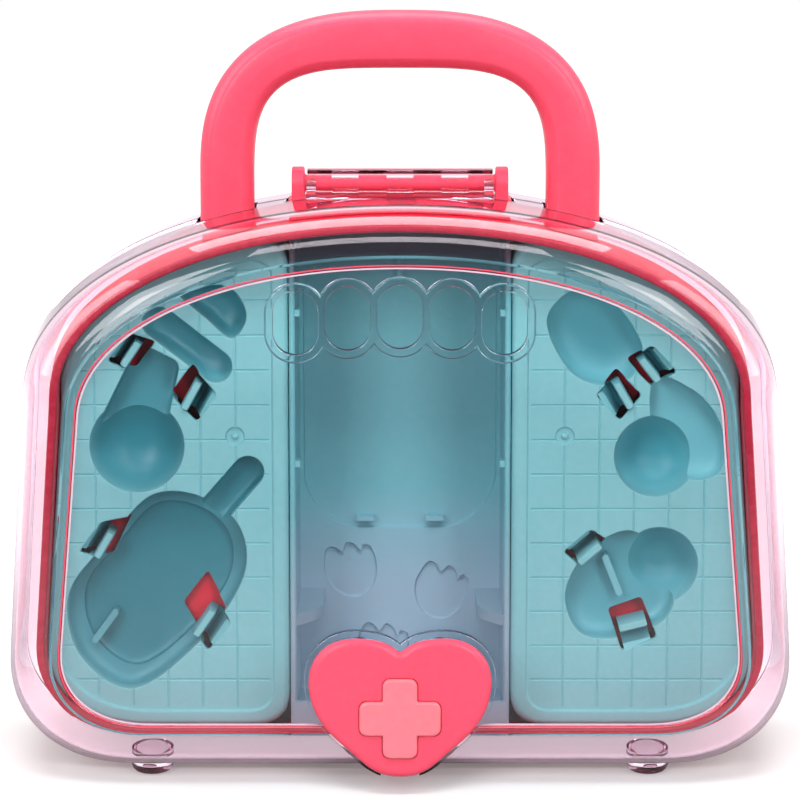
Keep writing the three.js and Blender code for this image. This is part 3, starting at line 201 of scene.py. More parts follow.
# The bay is painted with light: towards its floor a lavender-blue, for pink light bounced up from
# below, and at its top a dark mauve, painted shade under the tub's coral top.
bay_teal = moulded_plastic(
    "teal_plastic_bay", [(122, 196, 206), (118, 192, 203), (134, 203, 210)],
    painted_shading=[("Z", 0.085, 0.05, (156, 190, 208)), ("Z", 0.158, 0.172, (104, 100, 118))])
# This pale pink colours only the thin ring that paints a highlight along the lid's border.
painted_highlight_pink = moulded_plastic(
    "painted_highlight_plastic", [(232, 196, 210), (228, 188, 204), (244, 214, 226)], 0.4, 0.01, 0.004)
for plastic in (coral, coral_grained, pale_pink, left_teal, right_teal, bay_teal, painted_highlight_pink):
    print("plastic:", plastic.name, len(plastic.node_tree.nodes), "nodes")

# %% [markdown]
# ### Clear plastic
# Clear polystyrene bends light as glass does, so its walls show bright and dark lines where
# they turn away. A lamp's rays and bounced light would stop at glass, so for those rays a
# Transparent shader takes its place, and the trays behind the lid stay bright. It lets less
# light by where the wall slants, so the shoulders cast a soft shadow, as real ones do.

# %% Clear plastic
def clear_moulding(name, roughness):
    finish = new_finish(name)
    slant = add_node(finish, "ShaderNodeLayerWeight", {"Blend": 0.35}).outputs["Facing"]
    glass = add_node(finish, "ShaderNodeBsdfGlass", {
        "IOR": 1.46,
        # Where a wall is seen edge-on the glass turns pink: partly the longer path through the faintly
        # pink plastic, partly a painted reflection of the coral tub and handle in the wall's edges.
        "Color": mix_colour(finish, (1.0, 0.99, 0.995, 1.0), (1.0, 0.86, 0.95, 1.0), slant),
        "Roughness": spread(finish, 60.0, roughness * 0.5, roughness * 1.5),
        "Normal": bump_chain(finish, [(30.0, 0.06 * MM)])})
    through = add_node(finish, "ShaderNodeBsdfTransparent", {
        "Color": mix_colour(finish, (0.97, 0.965, 0.967, 1.0), (0.5, 0.49, 0.495, 1.0), slant)})
    ray = add_node(finish, "ShaderNodeLightPath")
    lighting = math_node(finish, "MAXIMUM", ray.outputs["Is Shadow Ray"],
                         ray.outputs["Is Diffuse Ray"])
    mix = add_node(finish, "ShaderNodeMixShader", {
        0: lighting, 1: glass.outputs[0], 2: through.outputs[0]})
    depth = add_node(finish, "ShaderNodeVolumeAbsorption", {
        "Color": (1.0, 0.74, 0.89, 1.0), "Density": 34.0})
    return show(finish, mix.outputs[0], Volume=depth.outputs[0])


clear = clear_moulding("clear_plastic", 0.02)

# %% Steel
def plated_steel():
    finish = new_finish("zinc_plated_steel")
    shell = add_node(finish, "ShaderNodeBsdfPrincipled", {
        "Metallic": 1.0,
        "Base Color": mix_colour(finish, srgb(196, 198, 202), srgb(168, 170, 176),
                                 spread(finish, 700.0, 0.0, 1.0)),
        "Roughness": spread(finish, 900.0, 0.24, 0.42),
        "Normal": bump_chain(finish, [(3000.0, 0.02 * MM)])})
    return show(finish, shell.outputs["BSDF"])


steel = plated_steel()
print("clear plastic and steel are ready")

# %% [markdown]
# ## Floor, background and light
# The floor is a plain white table. It glows for rays that reach the camera, so that it gets
# to white while it keeps the shadow of the case. The room is light behind the case and
# dark in front of it, so the lid's flat face mirrors little. The key stays out of the mirrored
# light, as behind a polarising filter. The side lamps draw the long highlights, and a lamp
# on each side of the camera draws the soft patches on the lid's shoulders.

# %% Floor and background
def seen_ray(finish, ray):
    """One for a ray that shows the background as it is, and nought once it was mirrored."""
    straight = math_node(finish, "LESS_THAN", ray.outputs["Glossy Depth"], 0.5)
    shown = math_node(finish, "MAXIMUM", ray.outputs["Is Camera Ray"],
                      ray.outputs["Is Transmission Ray"])
    return math_node(finish, "MULTIPLY", shown, straight)


def mirrored_ray(finish, ray):
    return math_node(finish, "MAXIMUM", ray.outputs["Is Glossy Ray"],
                     ray.outputs["Is Transmission Ray"])


WHITE = (1.0, 1.0, 1.0, 1.0)


def white_table():
    """The matt part is darker for bounced light, most of all in front. The glow grows away
    from the case. Where the table is seen through clear plastic it stays strong: a painted
    glow that lights the case's clear bottom and feet."""
    finish = new_finish("white_table")
    ray = add_node(finish, "ShaderNodeLightPath")
    place = add_node(finish, "ShaderNodeTexCoord").outputs["Object"]
    away = add_node(finish, "ShaderNodeVectorMath", {0: place}, operation="LENGTH")
    lift = map_range(finish, away.outputs["Value"], 0.25, 0.7, 0.14, 1.0)
    seen = seen_ray(finish, ray)
    unseen = math_node(finish, "SUBTRACT", 1.0, seen)
    loss = math_node(finish, "MULTIPLY", unseen, along(finish, "Y", -0.28, -0.55, 0.45, 0.86))
    matt = add_node(finish, "ShaderNodeBsdfDiffuse", {
        "Color": math_node(finish, "SUBTRACT", 0.9, loss)})
    at_back = math_node(finish, "MULTIPLY", mirrored_ray(finish, ray),
                        along(finish, "Y", -0.1, 0.3))
    plain = math_node(finish, "MULTIPLY", math_node(finish, "MAXIMUM", seen, at_back), lift)
    # Painted glow: the table shines brighter through clear plastic, to light the case's clear bottom
    # and feet.
    painted_glow_through_plastic = math_node(finish, "MULTIPLY", 0.78, math_node(
        finish, "MULTIPLY", seen, ray.outputs["Is Transmission Ray"]))
    glow = add_node(finish, "ShaderNodeEmission", {
        "Color": WHITE, "Strength": math_node(finish, "MAXIMUM", plain, painted_glow_through_plastic)})
    both = add_node(finish, "ShaderNodeAddShader", {0: matt.outputs[0], 1: glow.outputs[0]})
    return show(finish, both.outputs[0])


floor_mesh = bpy.data.meshes.new("table")
floor_mesh.from_pydata([(-6, -6, 0), (6, -6, 0), (6, 6, 0), (-6, 6, 0)], [], [(0, 1, 2, 3)])
floor_mesh.materials.append(white_table())
table = placed("table", floor_mesh)

room = bpy.data.worlds.new("studio")
bpy.context.scene.world = room
room.use_nodes = True
room.node_tree.nodes.clear()
room_ray = add_node(room, "ShaderNodeLightPath")
behind = along(room, "Y", -0.5, 0.4, 0.12, 1.0, "Generated")
mirrored = math_node(room, "MULTIPLY", mirrored_ray(room, room_ray), behind)
brightest = math_node(room, "MAXIMUM", seen_ray(room, room_ray), mirrored)
back = add_node(room, "ShaderNodeBackground", {
    "Color": WHITE, "Strength": math_node(room, "MAXIMUM", brightest, 0.14)})
show(room, back.outputs[0], "ShaderNodeOutputWorld")

# %% Soft lamps
MIDDLE = (0.0, 0.0, 0.12)


def softbox(name, place, width, height, power):
    """A soft lamp that faces the middle of the case."""
    light = bpy.data.lights.new(name, "AREA")
    light.shape = "RECTANGLE"
    light.size = width
    light.size_y = height
    light.energy = power
    return placed(name, light, place, MIDDLE)


key = softbox("key_softbox", (0.0, -1.0, 1.5), 0.9, 0.35, 15.0)
key.visible_glossy = False
softbox("top_softbox", (0.0, 0.25, 1.6), 1.4, 0.6, 13.0)
for hand, side, side_power, front_power in (("left", -1, 6.0, 9.2), ("right", 1, 5.5, 8.6)):
    softbox(f"{hand}_softbox", (side * 1.15, -0.2, 0.8), 0.45, 1.1, side_power)
    softbox(f"{hand}_front_softbox", (side * 0.66, -1.42, 0.7), 0.45, 0.7, front_power)
print("stage is lit")

# %% [markdown]
# ## Shapes
# Most of the case is thin moulded wall, so most parts are made from rings of points. A loft
# skins a stack of rings and closes both ends. Walls and pockets are then cut with booleans.
# Sizes are in millimetres, as a maker would draw them, and turned into metres at the end.

# %% Lofts and cuts
def new_piece(name, points, faces):
    mesh = bpy.data.meshes.new(name)
    mesh.from_pydata([tuple(p) for p in np.asarray(points) * MM], [], faces)
    skin = bmesh.new()
    skin.from_mesh(mesh)
    bmesh.ops.recalc_face_normals(skin, faces=skin.faces)
    skin.to_mesh(mesh)
    skin.free()
    return placed(name, mesh)


def loft(name, rings):
    count = len(rings[0])
    faces = []
    for r in range(len(rings) - 1):
        for i in range(count):
            j = (i + 1) % count
            near, far = r * count, (r + 1) * count
            faces.append((near + i, near + j, far + j, far + i))
    faces.append(tuple(range(count)))
    faces.append(tuple(range((len(rings) - 1) * count, len(rings) * count)))
    return new_piece(name, np.concatenate(rings), faces)


def ring_at(outline, y):
    """An outline of (x, z) points as a ring in the plane y."""
    return np.column_stack([outline[:, 0], np.full(len(outline), float(y)), outline[:, 1]])


def upright_ring(section, x):
    """A section of (y, z) points as a ring in the plane x."""
    return np.column_stack([np.full(len(section), float(x)), section])


def level_ring(outline, z):
    """An outline of (x, y) points as a ring in the plane z."""
    return np.column_stack([outline, np.full(len(outline), float(z))])


def stack(name, outline_at, stations):
    """Lofts an outline that depends on one size. A station is (size, y)."""
    return loft(name, [ring_at(outline_at(size), y) for size, y in stations])


def prism(name, outline, front, back):
    outline = np.asarray(outline, float)
    return loft(name, [ring_at(outline, front), ring_at(outline, back)])


def bar(name, section, left, right):
    """Runs a section of (y, z) points from x = left to x = right."""
    section = np.asarray(section, float)
    return loft(name, [upright_ring(section, x) for x in (left, right)])


def block(name, left, right, front, back, low, high):
    return prism(name, [(left, low), (right, low), (right, high), (left, high)], front, back)


def settled_mesh(piece):
    """The piece's mesh with its modifiers worked in."""
    bpy.context.view_layer.update()
    graph = bpy.context.evaluated_depsgraph_get()
    return bpy.data.meshes.new_from_object(piece.evaluated_get(graph))


def settle(piece):
    mesh = settled_mesh(piece)
    piece.modifiers.clear()
    piece.data = mesh
    return piece


def work(piece, tools, operation):
    for tool in tools:
        step = piece.modifiers.new("work", "BOOLEAN")
        step.operation = operation
        step.solver = "MANIFOLD"
        step.object = tool
    settle(piece)
    for tool in tools:
        bpy.data.objects.remove(tool)
    return piece


def cut(piece, *tools):
    return work(piece, tools, "DIFFERENCE")


def fuse(piece, *tools):
    return work(piece, tools, "UNION")


def common(piece, *tools):
    return work(piece, tools, "INTERSECT")

# %% [markdown]
# A finished part gets smooth shading, with creases kept where two faces meet at a real
# angle. Weighted normals keep the large flat faces flat, so that a mould's small rounds
# catch the light without smearing it.

# %% Finish and mount a part
def dress(piece, finish, body, slot, nodes=(), crease=34):
    merged = bmesh.new()
    merged.from_mesh(piece.data)
    bmesh.ops.remove_doubles(merged, verts=merged.verts, dist=0.000002)
    bmesh.ops.dissolve_degenerate(merged, edges=merged.edges, dist=0.000001)
    merged.to_mesh(piece.data)
    merged.free()
    piece.data.materials.clear()
    piece.data.materials.append(finish)
    for face in piece.data.polygons:
        face.use_smooth = True
        face.material_index = 0
    piece.data.set_sharp_from_angle(angle=math.radians(crease))
    weigh = piece.modifiers.new("weigh", "WEIGHTED_NORMAL")
    weigh.keep_sharp = True
    settle(piece)
    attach(piece, body)
    if nodes:
        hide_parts(*nodes)
    print(piece.name, len(piece.data.polygons), "faces")
    return piece

# %% [markdown]
# ## The outline of the case
# Seen from the front, the case is an arch over tapered sides with round lower corners. Arch
# and corners are superellipses, fuller than a circle. The shells, the tub and the trays all
# follow this one outline, each stepped in by its own distance.

# %% Outline
CASE_BOTTOM, CASE_TOP = 4.0, 192.0
CASE_HALF_LOW, CASE_HALF_SPRING, SPRING_HEIGHT = 129.8, 124.3, 128.0
ARCH_POWER, CORNER_POWER = 2.08, 2.2
CORNER_WIDTH, CORNER_HEIGHT = 42.0, 36.0


def case_sizes(inset):
    bottom = CASE_BOTTOM + inset * 0.94
    corner = inset * 0.68
    return {
        "bottom": bottom, "top": CASE_TOP - inset, "spring": SPRING_HEIGHT - inset * 0.3,
        "half_spring": CASE_HALF_SPRING - inset * 1.05, "half_low": CASE_HALF_LOW - inset,
        "corner_width": CORNER_WIDTH - corner, "corner_height": CORNER_HEIGHT - corner,
        "corner_top": bottom + CORNER_HEIGHT - corner}


def arch_points(size, angles):
    x = size["half_spring"] * np.sin(angles) ** (2 / ARCH_POWER)
    rise = (size["top"] - size["spring"]) * np.cos(angles) ** (2 / ARCH_POWER)
    return np.column_stack([x, size["spring"] + rise])


def arch_height(size, x):
    share = abs(x) / size["half_spring"]
    rise = (1 - share ** ARCH_POWER) ** (1 / ARCH_POWER)
    return size["spring"] + (size["top"] - size["spring"]) * rise


def corner_points(size, angles):
    across = size["corner_width"] * np.cos(angles) ** (2 / CORNER_POWER)
    down = size["corner_height"] * np.sin(angles) ** (2 / CORNER_POWER)
    x = size["half_low"] - size["corner_width"] + across
    return np.column_stack([x, size["corner_top"] - down])


def evened(outline, count):
    """The same closed outline with its points spread evenly, and its sharpest turns eased."""
    closed = np.vstack([outline, outline[:1]])
    steps = np.linalg.norm(np.diff(closed, axis=0), axis=1)
    reach = np.concatenate([[0], np.cumsum(steps)])
    stops = np.linspace(0, reach[-1], count, endpoint=False)
    even = np.column_stack([np.interp(stops, reach, closed[:, k]) for k in (0, 1)])
    for _ in range(2):
        even = (np.roll(even, 1, 0) + 2 * even + np.roll(even, -1, 0)) / 4
    return even


def case_outline(inset, count=260):
    size = case_sizes(inset)
    quarter = np.linspace(0, math.pi / 2, 80)
    right = np.vstack([arch_points(size, quarter), corner_points(size, quarter)])
    left = right[::-1] * [-1, 1]
    return evened(np.vstack([right, left[:-1]]), count)


def case_loft(name, stations):
    """A moulding that follows the case's outline. A station is (inset, y)."""
    return stack(name, case_outline, stations)


def grown(outline, distance):
    """Moves each point of a counter-clockwise outline outwards."""
    run = np.roll(outline, -1, 0) - np.roll(outline, 1, 0)
    run /= np.linalg.norm(run, axis=1)[:, None]
    return outline + distance * np.column_stack([run[:, 1], -run[:, 0]])


def stepped(name, outline, stations):
    """Lofts an outline that is moved outwards. A station is (distance, y)."""
    return stack(name, lambda distance: grown(outline, distance), stations)


def counter_clockwise(outline):
    outline = np.asarray(outline, float)
    x, z = outline[:, 0], outline[:, 1]
    area = np.sum(x * np.roll(z, -1) - np.roll(x, -1) * z)
    return outline if area > 0 else outline[::-1]


def circle(x, z, radius, steps=64):
    turn = np.linspace(0, 2 * math.pi, steps, endpoint=False)
    return np.column_stack([x + radius * np.cos(turn), z + radius * np.sin(turn)])


def stadium(x1, z1, x2, z2, radius, steps=16):
    """A slot with round ends between two points."""
    heading = math.atan2(z2 - z1, x2 - x1)
    ends = []
    for x, z, start in ((x2, z2, heading - math.pi / 2), (x1, z1, heading + math.pi / 2)):
        turn = np.linspace(start, start + math.pi, steps)
        ends.append(np.column_stack([x + radius * np.cos(turn), z + radius * np.sin(turn)]))
    return np.vstack(ends)


def smooth_outline(knots, steps=10):
    """A smooth closed curve through a few points."""
    knots = counter_clockwise(knots)
    points = []
    for i in range(len(knots)):
        a, b, c, d = (knots[(i + k) % len(knots)] for k in (-1, 0, 1, 2))
        for t in np.linspace(0, 1, steps, endpoint=False):
            points.append(0.5 * (2 * b + (c - a) * t + (2 * a - 5 * b + 4 * c - d) * t ** 2
                                 + (3 * b - a - 3 * c + d) * t ** 3))
    return np.array(points)


def bend(start, corner, end, steps):
    """A curve from start to end that turns at the corner."""
    t = np.linspace(0, 1, steps)[:, None]
    start, corner, end = (np.array(point, float) for point in (start, corner, end))
    return (1 - t) ** 2 * start + 2 * t * (1 - t) * corner + t ** 2 * end


def rounded(corners, radius=1.6, steps=7):
    """Rounds each corner of a polygon with a curve that starts a short way along each side."""
    corners = counter_clockwise(corners)
    bends = []
    for i, corner in enumerate(corners):
        before, after = corners[i - 1], corners[(i + 1) % len(corners)]
        start = corner + (before - corner) * radius / np.linalg.norm(before - corner)
        end = corner + (after - corner) * radius / np.linalg.norm(after - corner)
        bends.append(bend(start, corner, end, steps))
    return np.vstack(bends)


print("outline:", len(case_outline(0)), "points")

# %% [markdown]
# ## Clear shells
# The lid and the rear shell are the same kind of moulding: a drafted wall that turns through
# a wide shoulder into a flat face. The face is bordered by a double line, which is two small
# steps in the mould; on the lid two thin opaque rings in the border also paint the line's pink
# and white. Each shell is a loft of its outside less a loft of its inside.

# %% Shell walls
WALL, DRAFT, FACE_INSET, SHOULDER = 2.0, 1.6, 19.5, 19.5
LID_DEPTH, REAR_DEPTH = 46.0, 54.0
TOUCH, SWING = 0.3, 0.9
STEP_WIDTH, STEP_DEPTH = 3.4, 0.8


def shoulder(depth, wall, steps=18):
    straight = depth - SHOULDER
    edge_inset, edge_depth = FACE_INSET - STEP_WIDTH, depth - STEP_DEPTH
    stations = []
    for angle in np.linspace(0, math.pi / 2, steps + 1):
        inset = DRAFT + (edge_inset - DRAFT) * (1 - math.cos(angle))
        out = straight + (edge_depth - straight) * math.sin(angle)
        stations.append((inset + wall, out - wall * math.sin(angle)))
    return stations


def shell_wall(name, depth, direction):
    edge, top = FACE_INSET - STEP_WIDTH, depth - STEP_DEPTH
    border = [(edge + 0.3, top + 0.25), (edge + 0.55, top + 0.62), (edge + 0.8, top + 0.76),
              (edge + 1.1, depth), (FACE_INSET - 0.7, depth), (FACE_INSET - 0.4, depth - 0.06),
              (FACE_INSET - 0.15, depth - 0.2), (FACE_INSET + 0.15, depth - 0.5),
              (FACE_INSET + 0.45, depth - 0.6)]
    start = TOUCH / 2
    rim = [(0.35, start), (0.0, start + 0.35)]
    outside = rim + shoulder(depth, 0) + border
    inside = [(WALL, start - 1)] + shoulder(depth, WALL)
    turned = [[(inset, y * direction) for inset, y in side] for side in (outside, inside)]
    return cut(case_loft(name, turned[0]), case_loft("room", turned[1]))


LEG_OUTSIDE, LEG_INSIDE, HANDLE_DEEP = 65.7, 48.0, 8.2
NOTCH_BOTTOM, BRACKET_BOTTOM, ABOVE_CASE = 158, 176, 202


def pair_of_blocks(name, inside, outside, *front_back_low_high):
    """Two like blocks, one on each side of the middle."""
    return [block(name, *sorted((side * inside, side * outside)), *front_back_low_high)
            for side in (1, -1)]


def leg_notches(front, back):
    return pair_of_blocks("notch", LEG_INSIDE - SWING, LEG_OUTSIDE + SWING, front, back,
                          NOTCH_BOTTOM, ABOVE_CASE)


print("shoulder stations:", len(shoulder(LID_DEPTH, 0)))

# %% [markdown]
# ### Rear shell
# The rear shell is screwed to four bosses of the tub, so its face has four sunk screw seats.

# %% Rear shell
SHANK, HEAD, HEAD_DEPTH = 1.6, 3.4, 1.4
BOSSES = [("low_left", -84, 46), ("low_right", 84, 46), ("high_left", -72, 144),
          ("high_right", 72, 144)]
BRACKET_HALF, BRACKET_BACK, BRACKET_SEAT = 36.6, 9, 178


def turned_along_y(name, x, z, profile, steps=48):
    """A round piece along Y. Its profile is a list of (radius, y)."""
    return stack(name, lambda radius: circle(x, z, radius, steps), profile)


def round_y(name, radius, x, z, front, back):
    return turned_along_y(name, x, z, [(radius, front), (radius, back)])


rear_shell = shell_wall("clear_rear_shell", REAR_DEPTH, 1)
screw_cuts = []
for _, x, z in BOSSES:
    screw_cuts.append(round_y("hole", SHANK + TOUCH, x, z, 50, 55))
    screw_cuts.append(round_y("seat", HEAD + TOUCH, x, z, REAR_DEPTH - HEAD_DEPTH, 56))
cut(rear_shell, *screw_cuts)
cut(rear_shell, block("bracket_room", -BRACKET_HALF - TOUCH, BRACKET_HALF + TOUCH, -1,
                      BRACKET_BACK + TOUCH, BRACKET_BOTTOM, ABOVE_CASE),
    *leg_notches(-1, HANDLE_DEEP + TOUCH))
dress(rear_shell, clear, "case", "rear_shell", ["rear_shell"])

# %% [markdown]
# ### Lid
# Five rounded vents cross the lid's face, each with a raised rim. The rims run together into
# one scalloped border. Below them a hollow plinth carries the heart.

# %% Vents
FACE = -LID_DEPTH
BOSS_FACE = FACE - 2.0
VENT_PITCH, VENT_RADIUS, VENT_STRAIGHT = 16.6, 7.2, 3.0
VENT_TOP, VENT_BOW = 156.4, 279
VENT_RIM = [(2.75, FACE + 1), (2.75, FACE - 0.3), (2.6, FACE - 0.62), (2.3, FACE - 0.86),
            (1.85, FACE - 1)]
VENT_HOLE = [(0.6, FACE - 1.6), (0.6, FACE - 1), (0.12, FACE - 0.8), (0.0, FACE - 0.4),
             (0.0, FACE + 2.3), (0.3, FACE + 3.2)]


def vent_outline(i, margin):
    x = (i - 2) * VENT_PITCH
    z = VENT_TOP - (VENT_BOW - math.sqrt(VENT_BOW ** 2 - x ** 2))
    return stadium(x, z - VENT_STRAIGHT, x, z + VENT_STRAIGHT, VENT_RADIUS + margin, 28)


def five_vents(name, stations):
    """Five rounded slots on a wide arc. A station is (margin, y)."""
    return [loft(name, [ring_at(vent_outline(i, margin), y) for margin, y in stations])
            for i in range(5)]

# %% [markdown]
# The heart is drawn once, with soft curves, and used for the latch and for the clear plinth
# under it, which is a little larger all round.

# %% Heart outline
HEART_HALF, HEART_TOP, HEART_CLEFT, HEART_WIDEST, HEART_TIP = 29.5, 53.0, 47.6, 38.2, 7.0


def heart_outline(margin=0.0, steps=14):
    half, tall = HEART_HALF, HEART_TOP - HEART_TIP
    lobe = half * 0.485
    at = lambda share: HEART_TIP + tall * share
    curves = [
        [(0, HEART_CLEFT), (lobe * 0.16, HEART_CLEFT + 3.4), (lobe * 0.5, HEART_TOP),
         (lobe, HEART_TOP)],
        [(lobe, HEART_TOP), (half * 0.8, HEART_TOP), (half, HEART_WIDEST + 8.2),
         (half, HEART_WIDEST)],
        [(half, HEART_WIDEST), (half, HEART_WIDEST - 7), (half * 0.9, at(0.41)),
         (half * 0.79, at(0.33))],
        [(half * 0.79, at(0.33)), (half * 0.66, at(0.235)), (half * 0.5, at(0.16)),
         (half * 0.39, at(0.09))],
        [(half * 0.39, at(0.09)), (half * 0.24, at(0.01)), (half * 0.12, HEART_TIP),
         (0, HEART_TIP)]]
    right = []
    for a, b, c, d in np.array(curves):
        for t in np.linspace(0, 1, steps, endpoint=False):
            s = 1 - t
            right.append(s ** 3 * a + 3 * s * s * t * b + 3 * s * t * t * c + t ** 3 * d)
    right = np.array(right)
    left = right[1:][::-1] * [-1, 1]
    whole = counter_clockwise(np.vstack([right, [(0, HEART_TIP)], left]))
    return grown(evened(whole, 150), margin)


def heart_loft(name, stations):
    return stack(name, heart_outline, stations)

# %% Hinge sizes
HINGE_Z, ROD, PIN_GAP = 194.6, 2.6, 0.35
GUTTER_IN = ROD + PIN_GAP
GUTTER_OUT = GUTTER_IN + 1.8
EAR_INSIDE, EAR_THICK, EAR_RADIUS = 31.4, 4.2, 5.4
GUTTER_HALF = EAR_INSIDE - SWING
MOUTH = 66


def arc(y, z, radius, start, end, steps=24):
    turn = np.radians(np.linspace(start, end, steps))
    return np.column_stack([y + radius * np.cos(turn), z + radius * np.sin(turn)])


def turned_pin(name, y, z, profile, steps=48):
    """A round pin along X. Its profile is a list of (x, radius)."""
    whole_turn = 360 * (1 - 1 / steps)
    return loft(name, [upright_ring(arc(y, z, radius, 0, whole_turn, steps), x)
                       for x, radius in profile])


def round_x(name, radius, y, z, left, right, steps=48):
    return turned_pin(name, y, z, [(left, radius), (right, radius)], steps)

# %% [markdown]
# The lid hangs on the rod by a C-shaped gutter, open to the front, so it snaps over the rod.
# Small tabs on both lips of the gutter keep it there. Geometry Nodes repeat the tabs along
# the lip, so their number and pitch are two numbers.

# %% Repeat a block along X with Geometry Nodes
def repeated_blocks(name, count, pitch, size, centre, finish, turned=(0.0, 0.0, 0.0)):
    tree = bpy.data.node_groups.new(name, "GeometryNodeTree")
    sockets = {}
    for label, kind in (("Count", "NodeSocketInt"), ("Pitch", "NodeSocketVector"),
                        ("Size", "NodeSocketVector"), ("Turn", "NodeSocketVector"),
                        ("Start", "NodeSocketVector"), ("Finish", "NodeSocketMaterial")):
        made = tree.interface.new_socket(label, in_out="INPUT", socket_type=kind)
        sockets[label] = made.identifier
    tree.interface.new_socket("Geometry", in_out="OUTPUT", socket_type="NodeSocketGeometry")
    given = tree.nodes.new("NodeGroupInput")
    line = tree.nodes.new("GeometryNodeMeshLine")
    cube = tree.nodes.new("GeometryNodeMeshCube")
    place = tree.nodes.new("GeometryNodeInstanceOnPoints")
    real = tree.nodes.new("GeometryNodeRealizeInstances")
    paint = tree.nodes.new("GeometryNodeSetMaterial")
    out = tree.nodes.new("NodeGroupOutput")
    for source, output, target, socket in (
            (given, "Count", line, "Count"), (given, "Start", line, "Start Location"),
            (given, "Pitch", line, "Offset"), (given, "Size", cube, "Size"),
            (line, "Mesh", place, "Points"), (cube, "Mesh", place, "Instance"),
            (given, "Turn", place, "Rotation"), (place, "Instances", real, "Geometry"),
            (real, "Geometry", paint, "Geometry"), (given, "Finish", paint, "Material"),
            (paint, "Geometry", out, "Geometry")):
        tree.links.new(source.outputs[output], target.inputs[socket])
    piece = placed(name, bpy.data.meshes.new(name))
    step = piece.modifiers.new("repeat", "NODES")
    step.node_group = tree
    start = [c - p * (count - 1) / 2 for c, p in zip(centre, pitch)]
    given_values = {"Count": count, "Pitch": [p * MM for p in pitch],
                    "Size": [s * MM for s in size], "Turn": turned,
                    "Start": [s * MM for s in start], "Finish": finish}
    for label, value in given_values.items():
        step[sockets[label]] = value
    return settle(piece)

# %% Gutter
def gutter_parts():
    lip = GUTTER_IN * math.sin(math.radians(MOUTH))
    shelf, lip_top = HINGE_Z - lip, HINGE_Z + lip
    low, wall_top, reach = HINGE_Z - GUTTER_OUT, CASE_TOP - DRAFT, 16.0
    curl = np.vstack([arc(0, HINGE_Z, GUTTER_OUT, MOUTH - 180, 180 - MOUTH, 48),
                      arc(0, HINGE_Z, GUTTER_IN, 180 - MOUTH, MOUTH - 180, 40)])
    flange = [(-reach, wall_top - 1), (-GUTTER_OUT - SWING, low), (-1.2, low),
              (-1.2, shelf - 0.6), (-GUTTER_IN, shelf), (-GUTTER_OUT, shelf),
              (-reach, wall_top + 0.6)]
    gusset = [(-reach, wall_top - 1), (-GUTTER_OUT - SWING, low), (-3.4, low),
              (-3.4, lip_top), (-GUTTER_OUT, lip_top), (-reach, wall_top + 0.7)]
    parts = [bar("curl", curl, -GUTTER_HALF, GUTTER_HALF),
             bar("flange", flange, -GUTTER_HALF, GUTTER_HALF),
             bar("gusset", gusset, GUTTER_HALF - 3, GUTTER_HALF),
             bar("gusset", gusset, -GUTTER_HALF, 3 - GUTTER_HALF)]
    back = 0.2 - GUTTER_IN * math.cos(math.radians(MOUTH))
    front = -GUTTER_OUT - 0.2
    for low_edge, high_edge in ((lip_top - 0.9, lip_top + 1.2), (shelf - 1, shelf + 0.9)):
        parts.append(repeated_blocks(
            "lip_tabs", 3, (18.0, 0, 0), (8.8, back - front, high_edge - low_edge),
            (0, (front + back) / 2, (low_edge + high_edge) / 2), clear))
    return parts

# %% Latch sizes
HEART_BACK = BOSS_FACE - TOUCH
HEART_THICK = 4.3
HEART_FRONT = HEART_BACK - HEART_THICK
PIN, PIN_Z, PIN_Y = 1.5, 42.5, BOSS_FACE + 2.5
LUG_HALF, LUG, ARM_HALF = 4.5, 3.0, 5
CORE_FRONT = -25.0
TUB_GAP, TUB_WALL, TUB_DRAFT = 6.0, 2.3, 2.8
CATCH_BOTTOM = CASE_BOTTOM + (TUB_GAP + TUB_DRAFT) * 0.94 - 0.7
ARM_TOP = CATCH_BOTTOM - SWING - 0.8
BARB_FRONT = CORE_FRONT + 2 + TOUCH
BARB_BACK = BARB_FRONT + 2.8

# %% Lid
lid = shell_wall("clear_lid", LID_DEPTH, -1)
fuse(lid, *five_vents("vent_rim", VENT_RIM))
plinth = heart_loft("plinth", [(1.2, BOSS_FACE), (1.5, BOSS_FACE + 0.15), (1.6, BOSS_FACE + 0.5),
                               (1.6, -23)])
lid_room = [(inset, -y) for inset, y in [(WALL, -1)] + shoulder(LID_DEPTH, WALL)]
cut(plinth, case_loft("lid_room", lid_room))
fuse(lid, plinth)
cut(lid, heart_loft("plinth_room", [(-1.1, BOSS_FACE + WALL), (-1.1, -22)]))
ear_reach = PIN + PIN_GAP + 1.6
ear_inside = LUG_HALF + TOUCH
fuse(lid, *pair_of_blocks("ear", ear_inside, ear_inside + 3.2, BOSS_FACE + 1, PIN_Y + ear_reach,
                          PIN_Z - ear_reach, PIN_Z + ear_reach))
cut(lid, *five_vents("vent_hole", VENT_HOLE))
slot_half = ARM_HALF + 1.3
cut(lid, round_x("pin_hole", PIN + PIN_GAP, PIN_Y, PIN_Z, -9, 9),
    block("lug_room", -ear_inside, ear_inside, BOSS_FACE - 1, BOSS_FACE + 2.5, PIN_Z - LUG - 1.6,
          PIN_Z + LUG + 1.2),
    block("arm_room", -slot_half, slot_half, BOSS_FACE - 1, BOSS_FACE + 2.5, 0, 20),
    block("arm_path", -slot_half, slot_half, BOSS_FACE - 1, BARB_BACK + 3, 0, ARM_TOP + 0.4),
    block("hinge_room", -BRACKET_HALF - SWING, BRACKET_HALF + SWING, -EAR_RADIUS - SWING, 1,
          BRACKET_BOTTOM, ABOVE_CASE), *leg_notches(-HANDLE_DEEP - SWING, 1))
fuse(lid, *gutter_parts())
cut(lid, round_x("rod_room", GUTTER_IN, 0, HINGE_Z, -GUTTER_HALF - 1, GUTTER_HALF + 1, 64))
dress(lid, clear, "lid", "lid_shell", ["lid_shell"])


